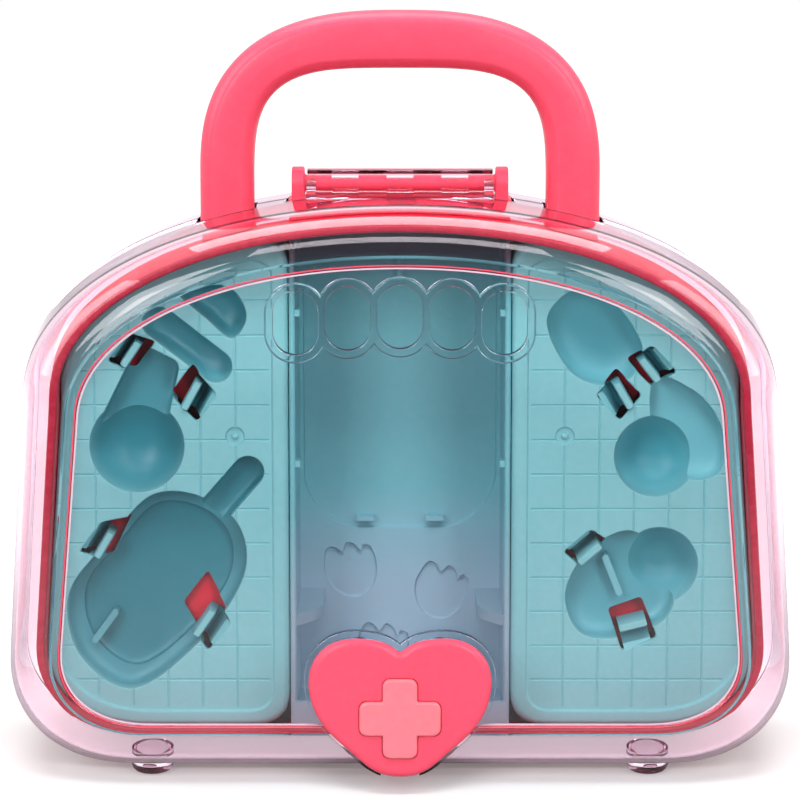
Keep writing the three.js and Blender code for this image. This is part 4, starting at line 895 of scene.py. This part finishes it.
def border_ring(name, outer, inner, front, back, finish, slot):
    ring = cut(case_loft(name, [(outer, front), (outer, back)]),
               case_loft("middle", [(inner, front - 1), (inner, back + 1)]))
    dress(ring, finish, "lid", slot)


# Two thin opaque rings in the lid's border paint its double line: the coral one is a painted pink line,
# for the coral tub seen in the border's steps, and the pale one a painted highlight.
border_ring("painted_pink_line_ring", 19.0, 19.4, 0.6 - LID_DEPTH, 1.0 - LID_DEPTH, coral, "heart_latch")
border_ring("painted_highlight_ring", 19.9, 20.4, 0.4 - LID_DEPTH, 0.9 - LID_DEPTH, painted_highlight_pink,
            "latch_cross")

# %% [markdown]
# ## Places of the clips
# Eight clips hold the tools. Each is a slot in a tray with a springy prong in it. A row gives
# the slot's corners, the prong's two ends, and how far the tongue behind it reaches, with a
# minus sign where it reaches the other way.

# %% Clips
LEFT_CLIPS = [
    ([(-88.9, 145.9), (-80.4, 143.2), (-87.8, 133.2), (-96.6, 136.5)],
     (-86.3, 142.5, -91, 135.5), -4.8),
    ([(-68.9, 135.2), (-60.5, 125.5), (-67.2, 116.1), (-76, 125.5)],
     (-66.7, 129.2, -71.1, 121.2), 6.5),
    ([(-99.4, 82.4), (-106.9, 72.2), (-96.5, 69.5), (-89.4, 84.4)],
     (-96.2, 78.6, -100.6, 71.1), -5.3),
    ([(-64.7, 63.6), (-73.2, 52.7), (-64.3, 38.3), (-56.5, 47.9)],
     (-62.8, 52, -67.9, 44.5), 6.6)]
RIGHT_CLIPS = [
    ([(83, 141.9), (91.4, 132.9), (83.2, 127.9), (75.2, 136.2)],
     (79.8, 136.9, 84.8, 130.5), 5.8),
    ([(71.9, 133.2), (79.9, 125.2), (72.8, 116.5), (64.7, 125.2)],
     (71.6, 128.9, 76, 121.5), -6.2),
    ([(63.5, 80), (69.6, 75.9), (61, 66.7), (54.3, 72.2)], (66.3, 74.5, 60, 69.1), -5.8),
    ([(69.9, 51), (81.2, 55.1), (86, 43.1), (74.3, 38.3)], (73.6, 46.5, 81.9, 48.6), -7.0)]
print(len(LEFT_CLIPS) + len(RIGHT_CLIPS), "clips")

# %% [markdown]
# ## Coral tub
# The tub is the core of the case. It shows as a coral band round the trays, so its front rim
# is rounded. The mould is spark-eroded, and the wall has a fine grain that glitters. A stop
# stands on its back wall behind each clip, and shows deep red through the clip's slot, in the
# fuller red that is painted on the tub's inside for light bounced between its red walls.

# %% Tub
TUB_BACK, TUB_BACK_WALL, TUB_ROUND, BOSS_RADIUS = 46.0, 3.0, 8.0, 4.5
ROUND_START = TUB_BACK - TUB_ROUND
BACK_FACE = TUB_BACK - TUB_BACK_WALL
TURN_Y = ROUND_START - TUB_WALL
TEAL_BACK = BACK_FACE - TOUCH
BACK_SLANT = TUB_ROUND * (TEAL_BACK - TURN_Y) / (BACK_FACE - TURN_Y)


def tub_inset(y, gap):
    """How far in the tub's inner wall is at y, with a gap for what stands in it."""
    return TUB_GAP + TUB_WALL + gap + max(0.0, TUB_DRAFT * y / CORE_FRONT)


def eased(inset, start, end, steps=8):
    """Stations round a corner from the wall at start to the back face at end."""
    turn = np.linspace(0, math.pi / 2, steps)
    return [(inset + TUB_ROUND * (1 - math.cos(a)), start + (end - start) * math.sin(a))
            for a in turn]


rim = 0.9
front_inset = TUB_GAP + TUB_DRAFT
tub = case_loft("coral_tub", [
    (front_inset + rim, CORE_FRONT), (front_inset + rim * 0.3, CORE_FRONT + rim * 0.3),
    (front_inset, CORE_FRONT + rim), (TUB_GAP, 0)] + eased(TUB_GAP, ROUND_START, TUB_BACK))
hollow = [(tub_inset(CORE_FRONT, -rim), CORE_FRONT - 1), (tub_inset(CORE_FRONT, -rim), CORE_FRONT),
          (tub_inset(CORE_FRONT, -rim * 0.3), CORE_FRONT + rim * 0.3),
          (tub_inset(CORE_FRONT, 0), CORE_FRONT + rim), (tub_inset(0, 0), 0)]
cut(tub, case_loft("hollow", hollow + eased(tub_inset(0, 0), TURN_Y, BACK_FACE)))
REAR_INNER = REAR_DEPTH - WALL - STEP_DEPTH
fuse(tub, *[round_y("boss", BOSS_RADIUS, x, z, TUB_BACK - 1, REAR_INNER - TOUCH) for _, x, z in BOSSES],
     block("catch", -9, 9, CORE_FRONT, CORE_FRONT + 2, CATCH_BOTTOM, CATCH_BOTTOM + 1.8))
cut(tub, *[round_y("pilot", SHANK + TOUCH, x, z, REAR_INNER - 6, 52) for _, x, z in BOSSES])
for corners, _, _ in LEFT_CLIPS + RIGHT_CLIPS:
    fuse(tub, stepped("stop", rounded(corners), [
        (0.9, 6.4), (1.2, 6.7), (1.2, 8.4), (-0.6, 9.6), (-1.0, BACK_FACE + 0.5)]))
dress(tub, coral_grained, "case", "core_tub", ["core_tub"])


def tub_space():
    """The tub's outside with a gap, for what stands on it."""
    return case_loft("tub_space", [(front_inset - TOUCH, CORE_FRONT - TOUCH), (TUB_GAP - TOUCH, 0),
                                   (TUB_GAP - TOUCH, ROUND_START)])

# %% [markdown]
# ## Handle
# The handle is two mouldings, front and rear, screwed together through the legs. Its section
# is flat in front with a soft crease on each side. The crease draws one long highlight, so
# the section has its own small profile, swept along the arch.

# %% Handle
HANDLE_BASE, HANDLE_STEPS = 168.0, 90
OUTER_ARCH = (LEG_OUTSIDE, 251.2, 54.5, 2.6)
INNER_ARCH = (LEG_INSIDE, 232.4, 42.0, 3.8)
GRIP_SCREW_X, GRIP_SCREW_Z = 56.85, 202


def arch_point(half, top, rise, power, angle):
    s, c = math.sin(angle), math.cos(angle)
    x = half * math.copysign(abs(s) ** (2 / power), s)
    return np.array([x, top - rise + rise * c ** (2 / power)])


HANDLE_PROFILE = [(0.0, 0.15), (0.0, 2.4), (0.12, 3.5), (0.5, 4.6), (1.1, 5.6), (1.9, 6.5),
                  (2.7, 7.2), (3.2, 7.58), (3.6, 7.78), (4.1, 7.9), (5.0, 8.0), (6.4, 8.12),
                  (8.2, 8.2)]


def leg_end(side):
    """The outer and the inner edge of a leg's lower end."""
    return [np.array([side * x, HANDLE_BASE]) for x in (LEG_OUTSIDE, LEG_INSIDE)]


def handle_half(name, direction):
    angles = [math.pi * (i / HANDLE_STEPS - 0.5) * 0.99999 for i in range(HANDLE_STEPS + 1)]
    arches = [(arch_point(*OUTER_ARCH, a), arch_point(*INNER_ARCH, a)) for a in angles]
    rings = []
    for outer, inner in [leg_end(-1), *arches, leg_end(1)]:
        width = np.linalg.norm(outer - inner)
        across = (outer - inner) / width
        near = [(u, v) for u, v in HANDLE_PROFILE if u < width / 2]
        section = near + [(width - u, v) for u, v in near[::-1]]
        rings.append(np.array([(inner[0] + across[0] * u, v * direction,
                                inner[1] + across[1] * u) for u, v in section]))
    half = cut(loft(name, rings), tub_space())
    tools = []
    for x in (-GRIP_SCREW_X, GRIP_SCREW_X):
        tools.append(round_y("hole", SHANK + TOUCH, x, GRIP_SCREW_Z, -6, 9))
        tools.append(round_y("seat", HEAD + TOUCH, x, GRIP_SCREW_Z, HANDLE_DEEP - HEAD_DEPTH, 9.5))
    return cut(half, *tools)


for side, direction in (("front", -1), ("rear", 1)):
    node = f"handle_{side}_half"
    dress(handle_half(f"coral_handle_{side}", direction), coral, "case", node, [node], 40)

# %% [markdown]
# ## Hinge bracket
# The bracket is a coral block on the tub with two round ears that hold the rod. The rod grows
# out of the ears with a small fillet, because a sharp corner would crack there.

# %% Bracket
bracket_top = HINGE_Z - GUTTER_OUT - 0.4
bracket = block("coral_hinge_bracket", -BRACKET_HALF, BRACKET_HALF, -4, BRACKET_BACK,
                BRACKET_SEAT, bracket_top)
cut(bracket, tub_space())
ear_section = np.vstack([arc(0, HINGE_Z, EAR_RADIUS, -8, 188, 40),
                         [(-4.5, bracket_top - 2), (8, bracket_top - 2)]])
ear_parts = []
for side in (1, -1):
    layers = [(EAR_INSIDE, 0.92), (EAR_INSIDE + 0.35, 1.0),
              (EAR_INSIDE + EAR_THICK - 0.6, 1.0), (EAR_INSIDE + EAR_THICK - 0.15, 0.97),
              (EAR_INSIDE + EAR_THICK, 0.9)]
    rings = []
    for x, share in layers:
        flat = (ear_section - (0, HINGE_Z)) * share + (0, HINGE_Z)
        flat[-2:] = ear_section[-2:]
        rings.append(upright_ring(flat, side * x))
    ear_parts.append(loft("ear", rings))
half_rod = [(32.4, 3.3), (31.4, 3.3), (31.1, 2.9), (30.6, ROD)]
rod_profile = [(-x, radius) for x, radius in half_rod] + half_rod[::-1]
fuse(bracket, *ear_parts, turned_pin("rod", 0, HINGE_Z, rod_profile))
dress(bracket, coral, "case", "hinge_bracket", ["hinge_bracket"])

# %% [markdown]
# ## Tool trays
# Each tray is one thin moulding that stands in the tub. Its front is a panel of square tiles
# inside a raised round border. Pockets are scooped into it, and springy prongs stand in slots
# beside them to hold the tools.

# %% Tray outline
TRAY_FRONT, TRAY_PLATE, TRAY_WALL, TRAY_CORNER = -9.0, 2.4, 1.6, 11.0
BAY_HALF = 36.6


def tray_outline(margin, y, count=230):
    size = case_sizes(tub_inset(y, TOUCH) + margin)
    inner = BAY_HALF + TOUCH + margin
    corner = TRAY_CORNER - margin * 0.6
    start = math.asin(((inner + corner) / size["half_spring"]) ** (ARCH_POWER / 2))
    top = arch_height(size, inner + corner)
    points = np.vstack([
        bend((inner, top - corner * 0.75), (inner, top + 1), (inner + corner, top), 16)[:-1],
        arch_points(size, np.linspace(start, math.pi / 2, 60)),
        corner_points(size, np.linspace(0, math.pi / 2, 50)),
        bend((inner + corner, size["bottom"]), (inner, size["bottom"]),
             (inner, size["bottom"] + corner), 16)])
    return evened(points * [-1, 1], count)


def tray_loft(name, stations):
    return loft(name, [ring_at(tray_outline(margin, y), y) for margin, y in stations])


def tray_blank(name):
    rise = TRAY_FRONT - 1.2
    blank = tray_loft(name, [
        (BACK_SLANT, TEAL_BACK), (0, TURN_Y), (0, TRAY_FRONT + 1.4), (0.15, TRAY_FRONT + 0.4),
        (0.6, TRAY_FRONT - 0.5), (1.3, rise + 0.2), (2.1, rise), (4.6, rise),
        (5.0, rise + 0.12), (5.35, TRAY_FRONT - 0.6), (5.6, TRAY_FRONT - 0.1), (5.9, TRAY_FRONT)])
    cut(blank, tray_loft("tray_room", [
        (TRAY_WALL, TRAY_FRONT + TRAY_PLATE), (TRAY_WALL, TURN_Y),
        (BACK_SLANT + TRAY_WALL, TEAL_BACK + 1)]))
    return blank

# %% [markdown]
# The tiles are drawn by grooves. Geometry Nodes repeat one thin square bar, turned on its
# edge, up and across the panel. The bars are trimmed to the panel and cut out of it, so each
# groove is a small V that catches light on its lower side.

# %% Tile grooves
TILE, GROOVE = 11.65, 0.62


def tile_grooves(side):
    columns = repeated_blocks(
        "tile_columns", 5, (TILE, 0, 0), (GROOVE, GROOVE, 170), (side * 77.7, TRAY_FRONT, 95),
        left_teal, (0, 0, math.radians(45)))
    rows = repeated_blocks(
        "tile_rows", 13, (0, 0, TILE), (90, GROOVE, GROOVE), (side * 78, TRAY_FRONT, 98.5),
        left_teal, (math.radians(45), 0, 0))
    trimmed = []
    for bars in (columns, rows):
        panel = tray_loft("panel", [(6.6, TRAY_FRONT - 2), (6.6, TRAY_FRONT + 2)])
        if side > 0:
            flip(panel)
        trimmed.append(common(bars, panel))
    return trimmed


def flip(piece):
    """Mirrors a piece left to right and turns its faces the right way out again."""
    for vertex in piece.data.vertices:
        vertex.co.x = -vertex.co.x
    skin = bmesh.new()
    skin.from_mesh(piece.data)
    bmesh.ops.reverse_faces(skin, faces=skin.faces)
    skin.to_mesh(piece.data)
    skin.free()
    return piece

# %% [markdown]
# A pocket is a scoop: its outline shrinks towards its middle as it gets deeper. A low power
# gives a bowl, and a high power gives a flat floor with a round edge. The same scoop, one
# wall larger, is the cup that stands out behind the tray.

# %% Pockets
def scoop(name, outline, depth, power, wall=0.0, top=0.0):
    outline = np.asarray(outline, float)
    middle_point = outline.mean(0)
    front = TRAY_FRONT + top
    if wall:
        rings = [ring_at(grown(outline, wall), front + 0.8)]
    else:
        rings = [ring_at(grown(outline, grow), y) for grow, y in (
            (0.5, front - 2.6), (0.5, front), (0.2, front + 0.12), (0.03, front + 0.4))]
    for angle in np.linspace(0, math.pi / 2, 16)[:-1]:
        share = max(math.cos(angle), 1e-3) ** (2 / power)
        down = math.sin(angle) ** (2 / power)
        shrunk = middle_point + (grown(outline, wall) - middle_point) * share
        rings.append(ring_at(shrunk, front + 0.9 + (depth + wall - 0.9) * down))
    return loft(name, rings)


def carve_pockets(tray, pockets):
    fuse(tray, *[scoop("cup", outline, depth, power, TRAY_WALL)
                 for outline, depth, power in pockets])
    cut(tray, *[scoop("pocket", outline, depth, power) for outline, depth, power in pockets])
    return tray


def spring_tongue(x1, z1, x2, z2, reach):
    """A strip that dips from the slot's outer edge and comes up again as the prong."""
    start, end = np.array([x1, z1], float), np.array([x2, z2], float)
    length = np.linalg.norm(end - start)
    run = (end - start) / length
    away = np.array([-run[1], run[0]]) * math.copysign(1, reach)
    s, f = abs(reach), TRAY_FRONT
    section = [(s + 1.0, f + 0.5), (s * 0.86, f + 2.0), (s * 0.68, f + 7.5), (s * 0.5, f + 11.2),
               (2.0, f + 11.6), (1.5, f + 9), (1.35, f - 1.2), (0.9, f - 1.7), (-0.9, f - 1.7),
               (-1.35, f - 1.2), (-1.5, f + 9), (-0.9, f + 13), (s * 0.6, f + 13),
               (s * 0.84, f + 9), (s + 1.0, f + 2.2)]
    half = length / 2 + 0.4
    rings = []
    for along_run in (-half, 0.4 - half, half - 0.4, half):
        slim = 0.75 if abs(along_run) == half else 1.0
        spots = [(start + end) / 2 + run * along_run + away * (out * slim if abs(out) < 1.4 else out)
                 for out, _ in section]
        rings.append(np.array([(p[0], y, p[1]) for p, (_, y) in zip(spots, section)]))
    return loft("tongue", rings)


def carve_clips(tray, clips):
    for corners, prong, reach in clips:
        cut(tray, stepped("slot", rounded(corners), [
            (0.35, TRAY_FRONT - 3), (0.35, TRAY_FRONT), (0.0, TRAY_FRONT + 0.4),
            (0.0, TRAY_FRONT + TRAY_WALL + 17)]))
        fuse(tray, spring_tongue(*prong, reach))
    return tray


def gate_mark(tray, x, z):
    """The small dish and nub that the moulding gate leaves."""
    cut(tray, scoop("dish", circle(x, z, 3.0, 40), 1.1, 2.0))
    nub = turned_along_y("nub", x, z, [
        (1.3, TRAY_FRONT + 1.4), (1.1, TRAY_FRONT + 0.3), (0.7, TRAY_FRONT - 0.1),
        (0.2, TRAY_FRONT - 0.2)], 20)
    return fuse(tray, nub)

# %% Left tray
left_tray = tray_blank("teal_left_tray")
cut(left_tray, *tile_grooves(-1))
bottle = smooth_outline([(-82.4, 91.5), (-97, 76), (-110.4, 58), (-107, 36.9), (-89, 25.6),
                         (-66, 43), (-52.2, 64), (-53.5, 81), (-66, 91)])
bottle_floor = bottle.mean(0) + (bottle - bottle.mean(0)) * 0.84
carve_pockets(left_tray, [
    (smooth_outline([(-73, 160.5), (-57, 161.5), (-50.6, 152), (-55.3, 144.2), (-63.5, 150.6)]),
     10, 3.0),
    (stadium(-79.5, 149.5, -60.8, 134.8, 5.4), 9.5, 3.0),
    (rounded([(-86, 143), (-72.5, 136), (-77, 116), (-100.5, 114)], 3.0), 9, 8.0),
    (circle(-87.1, 108.2, 15.6, 96), 13, 2.2),
    (stadium(-50.4, 99.4, -62, 86, 5.3), 10, 6.0),
    (bottle, 9.5, 7.0)])
cut(fuse(left_tray, scoop("cup", bottle_floor, 3.6, 6.0, TRAY_WALL, 8.4)),
    scoop("pocket", bottle_floor, 3.6, 6.0, 0.0, 8.4))
fuse(left_tray, prism("fin", stadium(-95.6, 50.3, -102.4, 41, 1.1), -3.5, 3.2))
carve_clips(left_tray, LEFT_CLIPS)
gate_mark(left_tray, -54.6, 111.4)
dress(left_tray, left_teal, "case", "left_tool_tray", ["left_tool_tray"])

# %% Right tray
right_tray = flip(tray_blank("teal_right_tray"))
cut(right_tray, *tile_grooves(1))
carve_pockets(right_tray, [
    (smooth_outline([(48.4, 150.2), (57.8, 160.4), (70.7, 155.4), (79.7, 141.5), (76.5, 131.5),
                     (66.4, 128.5), (55.5, 134)]), 10, 3.4),
    (smooth_outline([(84, 131), (96.1, 127.2), (103.8, 119.5), (107.8, 108.5), (105, 98.5),
                     (94, 98), (84, 112)]), 7, 4.0),
    (circle(84.5, 104.7, 13.5, 96), 13, 2.2),
    (smooth_outline([(73.9, 79.3), (62, 72), (55.2, 58), (60, 45), (73, 43), (88, 49), (91, 60),
                     (82, 76)]), 9.5, 6.0),
    (circle(86.3, 67.7, 12.9, 96), 13, 2.2)])
fuse(right_tray, prism("rib", stadium(68.7, 69.4, 73.4, 57.6, 1.1), -5.0, 0.9))
carve_clips(right_tray, RIGHT_CLIPS)
gate_mark(right_tray, 54.6, 111.4)
dress(right_tray, right_teal, "case", "right_tool_tray", ["right_tool_tray"])

# %% [markdown]
# ## Pet bay
# A toy pet sits between the trays. The bay is a deep tray with a shallow recess for the pet's
# back, ledges in its lower corners, and footprints sunk into its back wall.

# %% Bay walls
BAY_WALL = 1.9
BAY_FACE = TEAL_BACK - 3.6


def bay_ring(margin, y, extra=0.0):
    size = case_sizes(tub_inset(y, TOUCH) + margin + extra)
    half = BAY_HALF - margin
    across = np.linspace(half, -half, 40)
    points = [(-half, size["bottom"]), (half, size["bottom"])]
    points += [(x, arch_height(size, x)) for x in across]
    return ring_at(np.array(points), y)


bay = loft("teal_pet_bay", [bay_ring(0.5, TRAY_FRONT), bay_ring(0.0, TRAY_FRONT + 0.5),
                            bay_ring(0, 0), bay_ring(0, TURN_Y),
                            bay_ring(0, TEAL_BACK, BACK_SLANT)])
cut(bay, loft("bay_room", [
    bay_ring(BAY_WALL - 0.5, TRAY_FRONT - 1), bay_ring(BAY_WALL - 0.5, TRAY_FRONT),
    bay_ring(BAY_WALL, TRAY_FRONT + 0.5), bay_ring(BAY_WALL, 0), bay_ring(BAY_WALL, TURN_Y),
    bay_ring(BAY_WALL, BAY_FACE, BACK_SLANT)]))

# %% Recess and footprints
def rounded_box(half, low, high, radius, steps=14):
    corners = [(half - radius, high - radius, 0), (radius - half, high - radius, 90),
               (radius - half, low + radius, 180), (half - radius, low + radius, 270)]
    return np.vstack([arc(x, z, radius, start, start + 90, steps) for x, z, start in corners])


def footprint(x, z, tilt, size=1.0):
    """A pad that widens upwards and ends in three small toes."""
    knots = [(0.0, -10.2), (4.6, -8.6), (7.7, -4.6), (8.9, 0.6), (8.6, 4.4), (8.0, 6.4), (5.8, 7.2),
             (4.6, 5.6), (3.0, 8.2), (0.4, 9.2), (-1.6, 6.6), (-3.8, 8.8), (-6.6, 8.8),
             (-8.4, 5.0), (-9.2, 0.2), (-7.6, -5.2), (-4.2, -8.8)]
    turn = math.radians(tilt)
    spun = [(x + size * (u * math.cos(turn) - v * math.sin(turn)),
             z + size * (u * math.sin(turn) + v * math.cos(turn))) for u, v in knots]
    return smooth_outline(spun, 6)


def sunk(name, outline, depth, lip):
    """A shallow hollow in the back wall, with a soft lip: it narrows as it gets deeper."""
    centre = outline.mean(0)
    half = np.abs(outline - centre).max()
    return stack(name, lambda grow: centre + (outline - centre) * (1 + grow / half), [
        (lip, BAY_FACE - 1), (lip, BAY_FACE), (0.1, BAY_FACE + lip * 0.7),
        (0.0, BAY_FACE + depth * 0.85), (-0.3, BAY_FACE + depth)])


recess_top = arch_height(case_sizes(TUB_GAP + TUB_WALL + BAY_WALL + BACK_SLANT), 0) - 3
cut(bay, sunk("recess", rounded_box(33.2, 70.8, recess_top, 20), 2.3, 0.35))
cut(bay, *[sunk("print", footprint(x, z, tilt), 1.5, 0.3) for x, z, tilt in (
    (-16.9, 56.0, 14), (14.3, 48.2, -14), (-6.0, 27.0, -4))])

# %% Bay ledges and tabs
BAY_SIDE = BAY_HALF - BAY_WALL + 0.5
LEDGE_HEIGHTS, TAB_HEIGHTS, RIB_MIDDLES = (45.2, 49.0), (73.3, 75.0), (152.4, 102.0)
parts = []
for hand in (1, -1):
    ledge = counter_clockwise([(hand * 26.2, BAY_FACE + 0.5), (hand * BAY_SIDE, BAY_FACE + 0.5),
                               (hand * BAY_SIDE, -2), (hand * 31.5, 3), (hand * 28, 8),
                               (hand * 26.4, 14)])
    parts.append(loft("ledge", [level_ring(ledge, z) for z in LEDGE_HEIGHTS]))
parts += pair_of_blocks("tab", 9, 15, BAY_FACE - 2.2, BAY_FACE + 2.5, *TAB_HEIGHTS)
for z in RIB_MIDDLES:
    parts += pair_of_blocks("rib", BAY_SIDE - 2.1, BAY_SIDE, TRAY_FRONT + 0.6, TRAY_FRONT + 6,
                            z - 1.1, z + 1.1)
floor_z = CASE_BOTTOM + (TUB_GAP + TUB_WALL + TOUCH) * 0.94
parts.append(block("peg", -1, 1, BAY_FACE - 0.4, BAY_FACE + 2.3, recess_top - 15,
                   recess_top + 0.5))
parts.append(block("floor_lip", -BAY_SIDE, BAY_SIDE, TRAY_FRONT, TRAY_FRONT + 2, floor_z + 1, 21))
fuse(bay, *parts)
dress(bay, bay_teal, "case", "bay_liner", ["bay_liner"])

# %% [markdown]
# ## Heart latch
# The heart is a thick plate with a softly rounded rim. A lug on its back turns on a steel
# pin, and a springy arm under the lid hooks behind the tub's catch.

# %% Heart
HEART_EDGE, LATCH_RANGE = 2.6, 15
turns = np.linspace(0, math.pi / 2, 9)
stations = [(-0.4, HEART_BACK), (0.0, HEART_BACK - 0.4)]
stations += [(-HEART_EDGE * (1 - math.cos(a)),
              HEART_FRONT + HEART_EDGE * 0.75 * (1 - math.sin(a))) for a in turns]
heart = heart_loft("coral_heart_latch", stations)
slope = math.tan(math.radians(LATCH_RANGE))
relief = bar("relief", [(HEART_BACK + 1, PIN_Z), (HEART_BACK, PIN_Z),
                        (HEART_BACK - (HEART_TOP + 4 - PIN_Z) * slope, HEART_TOP + 4),
                        (HEART_BACK + 1, HEART_TOP + 4)], -35, 35)
cut(heart, relief)
lug = bar("lug", np.vstack([arc(PIN_Y, PIN_Z, LUG, -90, 90, 24),
                            [(HEART_BACK - 1.2, PIN_Z + LUG), (HEART_BACK - 1.2, PIN_Z - LUG)]]),
          -LUG_HALF, LUG_HALF)
knee = (HEART_BACK + BARB_FRONT) / 2
arm = bar("arm", [(HEART_BACK - 1.2, 12), (HEART_BACK + 1, 12), (knee, ARM_TOP - 1.7),
                  (BARB_BACK, ARM_TOP - 1.7), (BARB_BACK, ARM_TOP),
                  (BARB_FRONT + 0.9, ARM_TOP + 0.8), (BARB_FRONT, ARM_TOP + 0.8),
                  (BARB_FRONT, ARM_TOP), (knee + 1, ARM_TOP), (HEART_BACK + 1, 17),
                  (HEART_BACK - 1.2, 17)], -ARM_HALF, ARM_HALF)
fuse(heart, lug, arm)


CROSS_REACH, CROSS_HALF, CROSS_Z = 13.1, 5.6, 26.8


def cross_outline(margin):
    reach, half, tip = CROSS_REACH + margin, CROSS_HALF + margin, 2.5
    quarter = np.vstack([arc(reach - tip, half - tip, tip, 0, 90, 8), [(half + 0.35, half)],
                         [(half, half + 0.35)], arc(half - tip, reach - tip, tip, 0, 90, 8)])
    arms = []
    for k in range(4):
        c, s = round(math.cos(k * math.pi / 2)), round(math.sin(k * math.pi / 2))
        arms.append(np.column_stack([quarter[:, 0] * c - quarter[:, 1] * s,
                                     CROSS_Z + quarter[:, 0] * s + quarter[:, 1] * c]))
    return np.vstack(arms)


cut(heart, prism("cross_seat", cross_outline(TOUCH), HEART_FRONT - 1, HEART_FRONT + 0.8),
    round_x("pin_hole", PIN + PIN_GAP, PIN_Y, PIN_Z, -LUG_HALF - 1, LUG_HALF + 1))
dress(heart, coral, "latch", "heart_latch", ["heart_latch"])

# %% Cross and pin
cross_back = HEART_FRONT + 0.5
cross_front = HEART_FRONT - 1.4
rings = [ring_at(cross_outline(0), cross_back)]
for a in np.linspace(0, math.pi / 2, 6):
    rings.append(ring_at(cross_outline(-0.8 * (1 - math.cos(a))),
                         cross_front + 0.8 * (1 - math.sin(a))))
dress(loft("pale_pink_cross", rings), pale_pink, "latch", "latch_cross", ["latch_cross"])
pin_profile = [(-8.6, 1.2), (-8.3, PIN), (8.3, PIN), (8.6, 1.2)]
dress(turned_pin("steel_latch_pin", PIN_Y, PIN_Z, pin_profile, 32), steel, "lid", "latch_pin",
      ["latch_pin"])

# %% [markdown]
# ## Feet and screws
# Four clear feet are round studs under the shells. The screws have a cross recess.

# %% Feet
def shell_space(depth, direction, gap):
    stations = [(-gap, -direction)]
    stations += [(inset - gap, out * direction) for inset, out in shoulder(depth, 0)]
    return case_loft("shell_space", stations)


FOOT_X, FOOT_Y, FOOT_RADIUS = 82.4, 20, 7.0


def clear_foot(name, x, y):
    r = FOOT_RADIUS
    profile = [(3.6, 0.0), (r * 0.62, 0.12), (r * 0.8, 0.6), (r * 0.93, 1.5), (r, 3.0), (r, 9.0)]
    stud = loft(name, [level_ring(circle(x, y, radius, 56), z)
                       for radius, z in [(0.05, 0.0)] + profile])
    depth, direction = (REAR_DEPTH, 1) if y > 0 else (LID_DEPTH, -1)
    return cut(stud, shell_space(depth, direction, TOUCH))


for depth_side, y, body in (("front", -FOOT_Y, "lid"), ("rear", FOOT_Y, "case")):
    for hand_name, x in (("left", -FOOT_X), ("right", FOOT_X)):
        node = f"{depth_side}_{hand_name}_foot"
        dress(clear_foot(f"clear_{node}", x, y), clear, body, "feet", [node])

# %% Screws
def cross_screw(name, x, z, tip, end):
    length = end - tip
    neck = length - HEAD_DEPTH
    profile = [(0.05, 0), (SHANK, 0.4), (SHANK, neck), (HEAD, neck + TOUCH),
               (HEAD * 0.97, length - 0.75), (HEAD * 0.8, length - 0.35), (0.05, length - 0.1)]
    body = turned_along_y(name, x, z, [(radius, tip + height) for radius, height in profile], 40)
    arms = [block("recess", x - a, x + a, end - 1.0, end + 1, z - b, z + b)
            for a, b in ((1.9, 0.42), (0.42, 1.9))]
    return cut(body, *arms)


screws = [(f"rear_screw_{corner}", x, z, REAR_INNER - 5, REAR_DEPTH) for corner, x, z in BOSSES]
screws += [(f"handle_screw_{hand}", x, GRIP_SCREW_Z, -5, HANDLE_DEEP)
           for hand, x in (("left", -GRIP_SCREW_X), ("right", GRIP_SCREW_X))]
for node, x, z, tip, end in screws:
    dress(cross_screw(f"steel_{node}", x, z, tip, end), steel, "case", "screws", [node])
